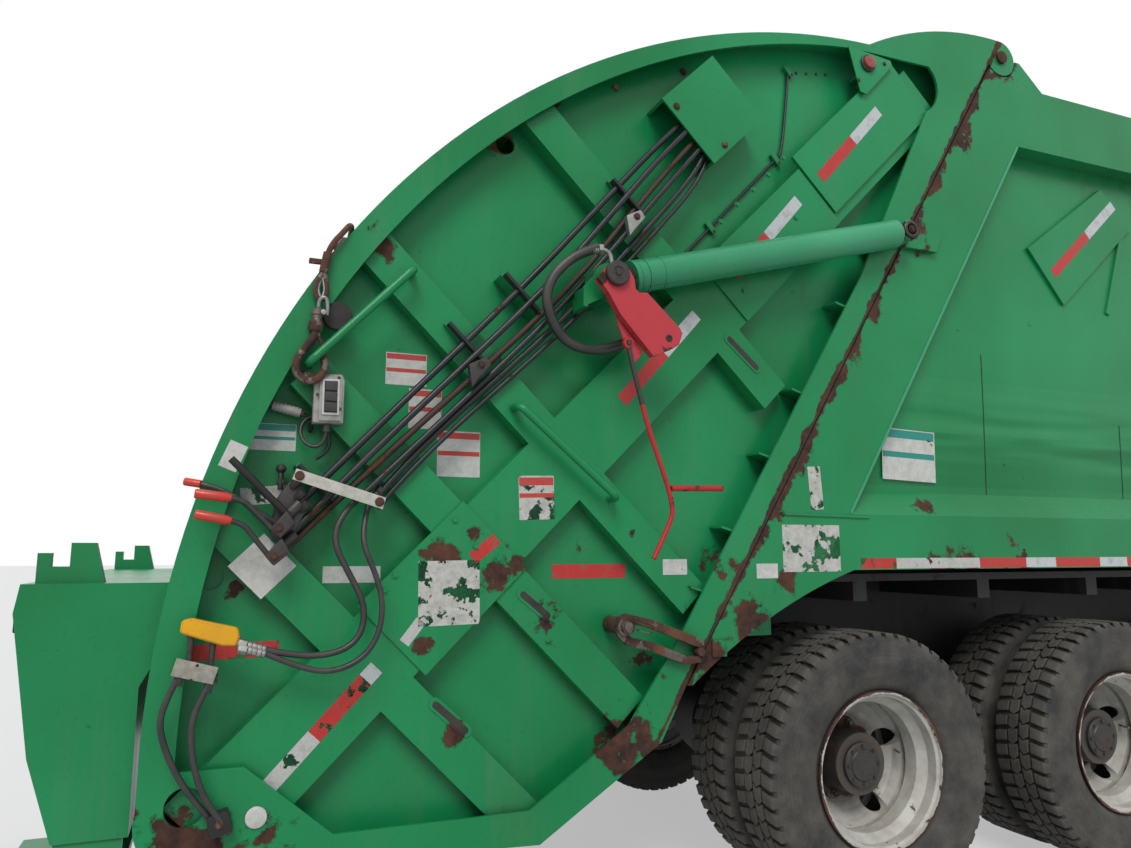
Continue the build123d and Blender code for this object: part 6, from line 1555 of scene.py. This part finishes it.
def gasket(piece, corners, y_low, y_high, width, finish):
    """A rubber frame round a window, by the corners of the opening in x and z."""
    for number, corner in enumerate(corners):
        start, end = Vector(corner), Vector(corners[(number + 1) % len(corners)])
        run = (end - start).normalized() * width / 2
        piece.slab(finish, strip(start - run, end + run, width), y_low, y_high, 0.004)


def screen_x(z):
    """x of the cab's raked front at height z."""
    return CAB_FACE - max(z - 1.7, 0.0) * 0.152


def pillow(width, depth, height, crown, cuts=10):
    """A crowned cushion: its top and sides swell, and its sides pull in between the corners."""
    shape = bmesh.new()
    bmesh.ops.create_cube(shape, size=2.0)
    bmesh.ops.subdivide_edges(shape, edges=shape.edges[:], cuts=cuts, use_grid_fill=True)
    for vert in shape.verts:
        u, v, w = vert.co
        round_u = u * (1 - 0.1 * v * v * w * w - 0.03 * (1 - v * v))
        round_v = v * (1 - 0.1 * u * u * w * w - 0.03 * (1 - u * u))
        swell = crown * (1 - u ** 4) * (1 - v ** 4)
        channel = 0.014 * sum(math.exp(-((u - place) / 0.035) ** 2) for place in (-0.33, 0.33)) * (1 - v ** 6)
        lift = w * (1 - 0.16 * max(u ** 6, v ** 6)) * height / 2 + (swell - channel if w > 0.5 else 0.0)
        vert.co = (round_v * depth / 2, round_u * width / 2, lift)
    bmesh.ops.recalc_face_normals(shape, faces=shape.faces[:])
    return shape


def make_cushions():
    """The cab's two places: sprung base, crowned cushion and back, and a headrest."""
    for side, word in SIDES:
        parts = (("cushion", pillow(0.42, 0.44, 0.115, 0.028), 0.0, (0.535, 0.7, 1.35), 0.75),
            ("backrest", pillow(0.4, 0.56, 0.085, 0.026), -math.pi / 2 + 0.05, (0.29, 0.7, 1.69), 0.7),
            ("headrest", pillow(0.26, 0.16, 0.07, 0.014, 8), -math.pi / 2 + 0.05, (0.292, 0.7, 1.965), 0.8),)
        for name, shape, lean, place, fill in parts:
            piece = Piece(f"cab_{name}_{word}", "cab", "upholstery", side)
            piece.add(set_at(*place, spun(shape, "Y", lean)), cab_cloth)
            piece.done(("cab_interior",), angle=60)
        base = Piece(f"cab_cushion_base_{word}", "cab", "trim", side)
        base.slab(dark_steel, [(FRONT_AXLE + 0.31, 1.268), (FRONT_AXLE + 0.75, 1.268),
            (FRONT_AXLE + 0.735, 1.292), (FRONT_AXLE + 0.325, 1.292)], 0.5, 0.9, 0.004)
        base.slab(black_plastic, [(FRONT_AXLE + 0.246, 1.31), (FRONT_AXLE + 0.262, 1.305),
            (FRONT_AXLE + 0.258, 1.94), (FRONT_AXLE + 0.244, 1.94)], 0.52, 0.88, 0.006)
        for y in (0.64, 0.76):
            base.bar(zinc, (FRONT_AXLE + 0.27, y, 1.86), (FRONT_AXLE + 0.272, y, 1.93), 0.006, 16)
        base.done()


def make_dash():
    piece = Piece("dash_and_column", "cab", "trim", 1)
    for side in (1, -1):
        face = cab_mm(1162, 1402, 1452, 1402, 1452, 1688, 1235, 1688, 1205, 1665, 1164, 1600)
        low, high = (0.03, 1.02) if side > 0 else (-1.02, -0.03)
        piece.slab(dash_plastic, face, low, high, 0.012, 3)
    piece.slab(seal_rubber, cab_mm(1166, 1405, 1450, 1405, 1450, 1684, 1215, 1684, 1168, 1600), -0.03, 0.03)
    hood = cab_mm(1205, 1640, 1165, 1640, 1160, 1620, 1200, 1600)
    piece.slab(black_plastic, hood, 0.52, 0.88, 0.006)
    for y, radius in mm(2, 600, 52, 725, 52, 820, 30):
        dial = turned([(0.0, 0.0), (radius, 0.0), (radius, 0.01), (radius * 0.92, 0.012),
            (radius * 0.88, 0.006), (0.0, 0.006)], 40)
        piece.add(set_at(1.166, y, 1.535, spun(dial, "Z", math.pi / 2)), dark_steel)
    piece.bar(black_plastic, (FRONT_AXLE + 1.25, 0.7, 1.42), (FRONT_AXLE + 1.066, 0.7, 1.604), 0.032, 40,
        0.003)
    for y in (0.585, 0.815):
        stalk = [(FRONT_AXLE + 1.105, 0.7 + (y - 0.7) * 0.2, 1.56), (FRONT_AXLE + 1.09, y, 1.585)]
        piece.bar(black_plastic, *stalk, 0.007, 16, 0.002)
    for number in range(5):
        piece.block(black_plastic, FRONT_AXLE + 1.154, FRONT_AXLE + 1.164, -0.1 + number * 0.075,
            -0.05 + number * 0.075, 1.5, 1.545, 0.002)
    piece.done(("cab_interior",))


def make_cab_outside():
    """Grille, wipers and lamps in front, gaskets, grab rails and door fittings at the sides, mirror glass."""
    piece = Piece("cab_front_fittings", "cab", "trim", 1)
    x = CAB_FACE
    frame_bars = mm(4, -620, 620, 1020, 1040, -620, 620, 1560, 1580, -620, -600, 1020, 1580,
        600, 620, 1020, 1580)
    for y_low, y_high, z_low, z_high in frame_bars:
        piece.block(black_trim_paint, x, x + 0.018, y_low, y_high, z_low, z_high, 0.004)
    # A black sheet behind the slats: painted shade standing for the dark space behind the grille.
    piece.block(seal_rubber, x, x + 0.003, -0.6, 0.6, 1.04, 1.56, 0.001)
    slat = solid([(x + 0.003, 1.052), (x + 0.016, 1.06), (x + 0.016, 1.074), (x + 0.003, 1.068)], -0.598,
        0.598, 0.001, 1)
    piece.add(row_of(slat, 14, (0.0, 0.0, 0.036)), black_trim_paint)
    for side in (1, -1):
        y_foot, y_blade = side * 0.16, side * 0.52
        piece.bar(black_plastic, (x - 0.03, y_foot, 1.735), (x + 0.018, y_foot, 1.735), 0.018, 28, 0.003)
        bends = ((y_foot, 1.735, 0.016), (y_foot + side * 0.05, 1.79, 0.022), (y_blade, 2.06, 0.02))
        arm = [(screen_x(z) + out, y, z) for y, z, out in bends]
        piece.pipe(black_trim_paint, arm, 0.006, 4, 8)
        blade = [(screen_x(z) + 0.009, y_blade + side * (z - 2.06) * 0.25, z)
            for z in (1.8, 1.93, 2.06, 2.19, 2.32)]
        piece.pipe(seal_rubber, blade, 0.0065, 4, 8)
        lamp = turned(mm(2, 0, 0, 42, 0, 42, 6, 36, 22, 12, 28, 0, 28.5), 36)
        piece.add(moved(spun(lamp, "Z", -math.pi / 2), x, side * 0.96, 1.15), amber_lens)
        for y in (0.3, 0.92):
            slope = [(x - 0.152, 2.638), (x - 0.192, 2.696), (x - 0.178, 2.706), (x - 0.142, 2.655)]
            piece.slab(amber_lens, slope, side * y - 0.045, side * y + 0.045, 0.005)
    piece.done()
    for side, word in SIDES:
        body = Piece(f"cab_side_fittings_{word}", "cab", "trim", side)
        quarter = cab_mm(-330, 1700, 520, 1700, 520, 2410, -330, 2410)
        gasket(body, quarter, 1.094, 1.104, 0.03, seal_rubber)
        body.pipe(zinc, [(FRONT_AXLE + 0.595, 1.1, 1.15), (FRONT_AXLE + 0.595, 1.145, 1.17),
            (FRONT_AXLE + 0.595, 1.15, 1.25), (FRONT_AXLE + 0.595, 1.15, 1.9),
            (FRONT_AXLE + 0.595, 1.145, 2.0), (FRONT_AXLE + 0.595, 1.1, 2.02)], 0.013, 4, 8)
        body.block(amber_lens, FRONT_AXLE + 0.1, FRONT_AXLE + 0.2, 1.1, 1.108, 1.45, 1.49, 0.003)
        body.done()
        door = Piece(f"door_fittings_{word}", f"door_{word}", "trim", side)
        window = cab_mm(710, 1700, 1300, 1700, 1192, 2410, 710, 2410)
        gasket(door, window, 1.094, 1.104, 0.026, seal_rubber)
        door.slab(black_plastic, cab_mm(690, 1585, 850, 1585, 850, 1628, 690, 1628), 1.1, 1.124, 0.008, 3)
        door.peg(zinc, FRONT_AXLE + 0.88, 1.606, 1.098, 1.108, 0.014, 28, 0.002)
        door.block(seal_rubber, FRONT_AXLE + 0.7, FRONT_AXLE + 1.34, 1.1, 1.106, 0.905, 0.965, 0.003)
        door.done()
        mirror = Piece(f"mirror_glass_{word}", "cab", "glass", side)
        rear = FRONT_AXLE + 1.393
        mirror.block(mirror_glass, rear - 0.004, rear + 0.002, 1.225, 1.405, 1.8, 2.08, 0.002)
        mirror.block(mirror_glass, rear - 0.004, rear + 0.002, 1.225, 1.405, 2.105, 2.24, 0.002)
        mirror.slab(black_plastic, [(rear - 0.002, 1.788), (rear + 0.068, 1.792), (rear + 0.06, 2.25),
            (rear - 0.002, 2.254)], 1.414, 1.42, 0.002)
        mirror.done()


def make_front_lamps():
    """Lamp cases, lenses and bowls in the bumper."""
    for side, word in SIDES:
        piece = Piece(f"lamps_front_{word}", "chassis", "lamp", side)
        x = FRONT_AXLE + 1.62
        piece.block(black_plastic, x - 0.06, x - 0.008, 0.64, 0.9, 0.52, 0.66, 0.004)
        for low, high, finish in ((0.656, 0.724, amber_lens), (0.73, 0.806, clear_lens),
                (0.812, 0.884, clear_lens)):
            piece.block(finish, x - 0.01, x - 0.001, low, high, 0.538, 0.642, 0.003)
        for y in (0.768, 0.848):
            bowl = turned([(0.0, 0.0), (0.03, 0.0), (0.028, 0.0005), (0.012, 0.0008), (0.0, 0.0008)], 32)
            piece.add(moved(spun(bowl, "Z", -math.pi / 2), x - 0.001, y, 0.59), mirror_glass)
        piece.done(("headlamps",) if side > 0 else ())


def make_chassis_fittings():
    """Tank straps and cap, step gratings and mudflaps."""
    tank = Piece("tank_fittings", "chassis", "bare_steel", 1)
    for behind in (2.025, 1.225):
        x = FRONT_AXLE - behind
        strap = turned(mm(2, 315.5, -28, 317.5, -26, 317.5, 26, 315.5, 28), 96, True)
        tank.add(moved(spun(strap, "Z", math.pi / 2), x, 0.79, 0.72), rusty_steel)
    cap_x = FRONT_AXLE - 1.425
    tank.bar(black_plastic, (cap_x, 1.022, 0.996), (cap_x, 1.034, 1.018), 0.05, 40, 0.004)
    tank.bolted(rusty_steel, [(FRONT_AXLE - behind, 1.1085, 0.72) for behind in (2.025, 1.225)], 0.01, 4)
    tank.done()
    for side, word in SIDES:
        step = Piece(f"step_grating_{word}", "chassis", "bare_steel", side)
        tooth = brick(FRONT_AXLE + 0.69, FRONT_AXLE + 0.698, 0.775, 1.07, 0.46, 0.4665, 0.0)
        step.add(row_of(tooth, 27, (0.024, 0.0, 0.0)), rusty_steel)
        step.done()
        flap = Piece(f"mudflap_{word}", "chassis", "trim", side)
        x, top = FRONT_AXLE - 0.68, 0.96
        flap.block(seal_rubber, x - 0.006, x + 0.006, 0.76, 1.11, 0.28, top, 0.002)
        flap.block(black_chassis, x - 0.03, x - 0.006, 0.43, 1.11, top - 0.05, top - 0.01, 0.003)
        stud = straight((x - 0.006, 0.79, top - 0.03), (x + 0.014, 0.79, top - 0.03), 0.008, 6, 0.001)
        flap.add(row_of(stud, 4, (0.0, 0.096, 0.0)), rusty_steel)
        flap.done()


def make_rear_fittings():
    """Rubber buffers and a blank plate on the loading sill."""
    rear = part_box("hopper_sill")[0][0] - REAR_AXLE.x
    for side, word in SIDES:
        piece = Piece(f"sill_fittings_{word}", "tailgate", "trim", side)
        for y in (0.1, 0.44, 0.78):
            piece.block(seal_rubber, rear + 0.001, rear + 0.03, y, y + 0.26, 1.125, 1.172, 0.006)
        piece.done()
    plate = Piece("blank_number_plate", "tailgate", "trim", 1)
    low, high = rear + 0.065 * (1.18 - 0.86) / 0.4, rear + 0.065 * (1.18 - 0.97) / 0.4
    plate.slab(white_vinyl, [(low + 0.002, 0.86), (low + 0.01, 0.86), (high + 0.01, 0.97),
        (high + 0.002, 0.97)], -0.26, 0.26, 0.002)
    plate.done()


def make_body_seams():
    """The joints of the body side's sheets as thin black strips, painted shade of their grooves; a pale strip
    on the rear column's edge, a painted highlight; and the flat bar at its foot.
    """
    for side, word in SIDES:
        piece = Piece(f"body_seams_{word}", "chassis", "green_paint", side)
        # Each joint is a thin black-painted tube: painted shade of the groove between the sheets.
        for x, top in mm(2, 762, 2240, 1648, 1960, 2534, 2300, 3420, 2100):
            rise = [1.602 + (top - 1.602) * number / 8 for number in range(9)]
            bulge = [PANEL_FACE + 0.014 * (1.0 - ((z - 2.431) / 0.831) ** 2) for z in rise]
            route = [(x + 0.02 * (z - 1.6), y - 0.0005, z) for y, z in zip(bulge, rise)]
            piece.pipe(black_trim_paint, route, 0.0028, 1, 6)
        # A pale green strip along the rear column's edge: a painted highlight.
        piece.slab(green_barrel, strip((-0.068, 1.504), (1.022, 3.258), 0.012), RIM_Y - 0.001,
            RIM_Y + 0.0025, 0.001)
        foot_bar = mm(2, -400, 1500, 20, 1492, 20, 1484, -400, 1492)
        piece.slab(green_bolster, foot_bar, RIM_Y - 0.001, RIM_Y + 0.007, 0.002)
        piece.done()


make_cushions()
make_dash()
make_cab_outside()
make_front_lamps()
make_chassis_fittings()
make_rear_fittings()
make_body_seams()


# Stage


def seen_directly(graph):
    """1 for rays that reach the eye, 0 for those that light the object."""
    rays = graph.add("ShaderNodeLightPath").outputs
    return graph.most(rays["Is Camera Ray"], graph.most(rays["Is Glossy Ray"], rays["Is Transmission Ray"]))


def plain_material(name, shade, white_share):
    """A pale stage finish that shows lighter to the camera than it lights the object."""
    material = bpy.data.materials.new(name)
    material.use_nodes = True
    material.node_tree.nodes.clear()
    graph = Graph(material.node_tree)
    surface = graph.add("ShaderNodeBsdfPrincipled", {"Base Color": shade, "Roughness": 0.9})
    glow = graph.add("ShaderNodeEmission", {"Color": colour(1, 1, 1), "Strength": 1.0})
    blend = graph.add("ShaderNodeMixShader", {0: graph.times(seen_directly(graph), white_share)})
    graph.tree.links.new(surface.outputs[0], blend.inputs[1])
    graph.tree.links.new(glow.outputs[0], blend.inputs[2])
    output = graph.add("ShaderNodeOutputMaterial")
    graph.feed(output.inputs["Surface"], blend.outputs[0])
    return material


def make_stage():
    data = bpy.data.meshes.new("floor")
    data.from_pydata([(x * FLOOR_HALF, y * FLOOR_HALF, 0) for x, y in ((-1, -1), (1, -1), (1, 1), (-1, 1))],
        [], [(0, 1, 2, 3)])
    floor = bpy.data.objects.new("floor", data)
    data.materials.append(plain_material("Pale floor", colour(0.55, 0.55, 0.54), 0.45))
    scene.collection.objects.link(floor)
    world = bpy.data.worlds.new("studio")
    world.use_nodes = True
    world.node_tree.nodes.clear()
    graph = Graph(world.node_tree)
    light = graph.add("ShaderNodeBackground", {"Color": colour(0.86, 0.93, 1.0), "Strength": 0.62})
    white = graph.add("ShaderNodeBackground", {"Color": colour(1, 1, 1), "Strength": 1.0})
    blend = graph.add("ShaderNodeMixShader", {0: seen_directly(graph)})
    graph.tree.links.new(light.outputs[0], blend.inputs[1])
    graph.tree.links.new(white.outputs[0], blend.inputs[2])
    graph.feed(graph.add("ShaderNodeOutputWorld").inputs["Surface"], blend.outputs[0])
    scene.world = world
    for name, energy, angle, toward in (("key", 1.9, 0.45, (0.35, 0.75, -0.85)),
            ("fill", 0.6, 0.9, (-0.8, -0.5, -0.6))):
        lamp = bpy.data.lights.new(name, "SUN")
        lamp.energy = energy
        lamp.angle = angle
        lamp.color = (1.0, 0.97, 0.92)
        sun = bpy.data.objects.new(name, lamp)
        sun.rotation_euler = Vector(toward).to_track_quat("-Z", "Y").to_euler()
        scene.collection.objects.link(sun)


def make_camera():
    """Stands where the photographer stood: low beside the tailgate, looking a little ahead and up."""
    lens = bpy.data.cameras.new("camera")
    lens.sensor_width = 36.0
    lens.lens = 27.06
    camera = bpy.data.objects.new("camera", lens)
    camera.location = Vector((-2.39, -3.91, 1.36)) + REAR_AXLE
    camera.rotation_euler = Euler((math.pi / 2 + PHOTO_TILT, 0.0, -PHOTO_TURN))
    scene.collection.objects.link(camera)
    scene.camera = camera


make_stage()
make_camera()
scene.view_settings.view_transform = "Standard"
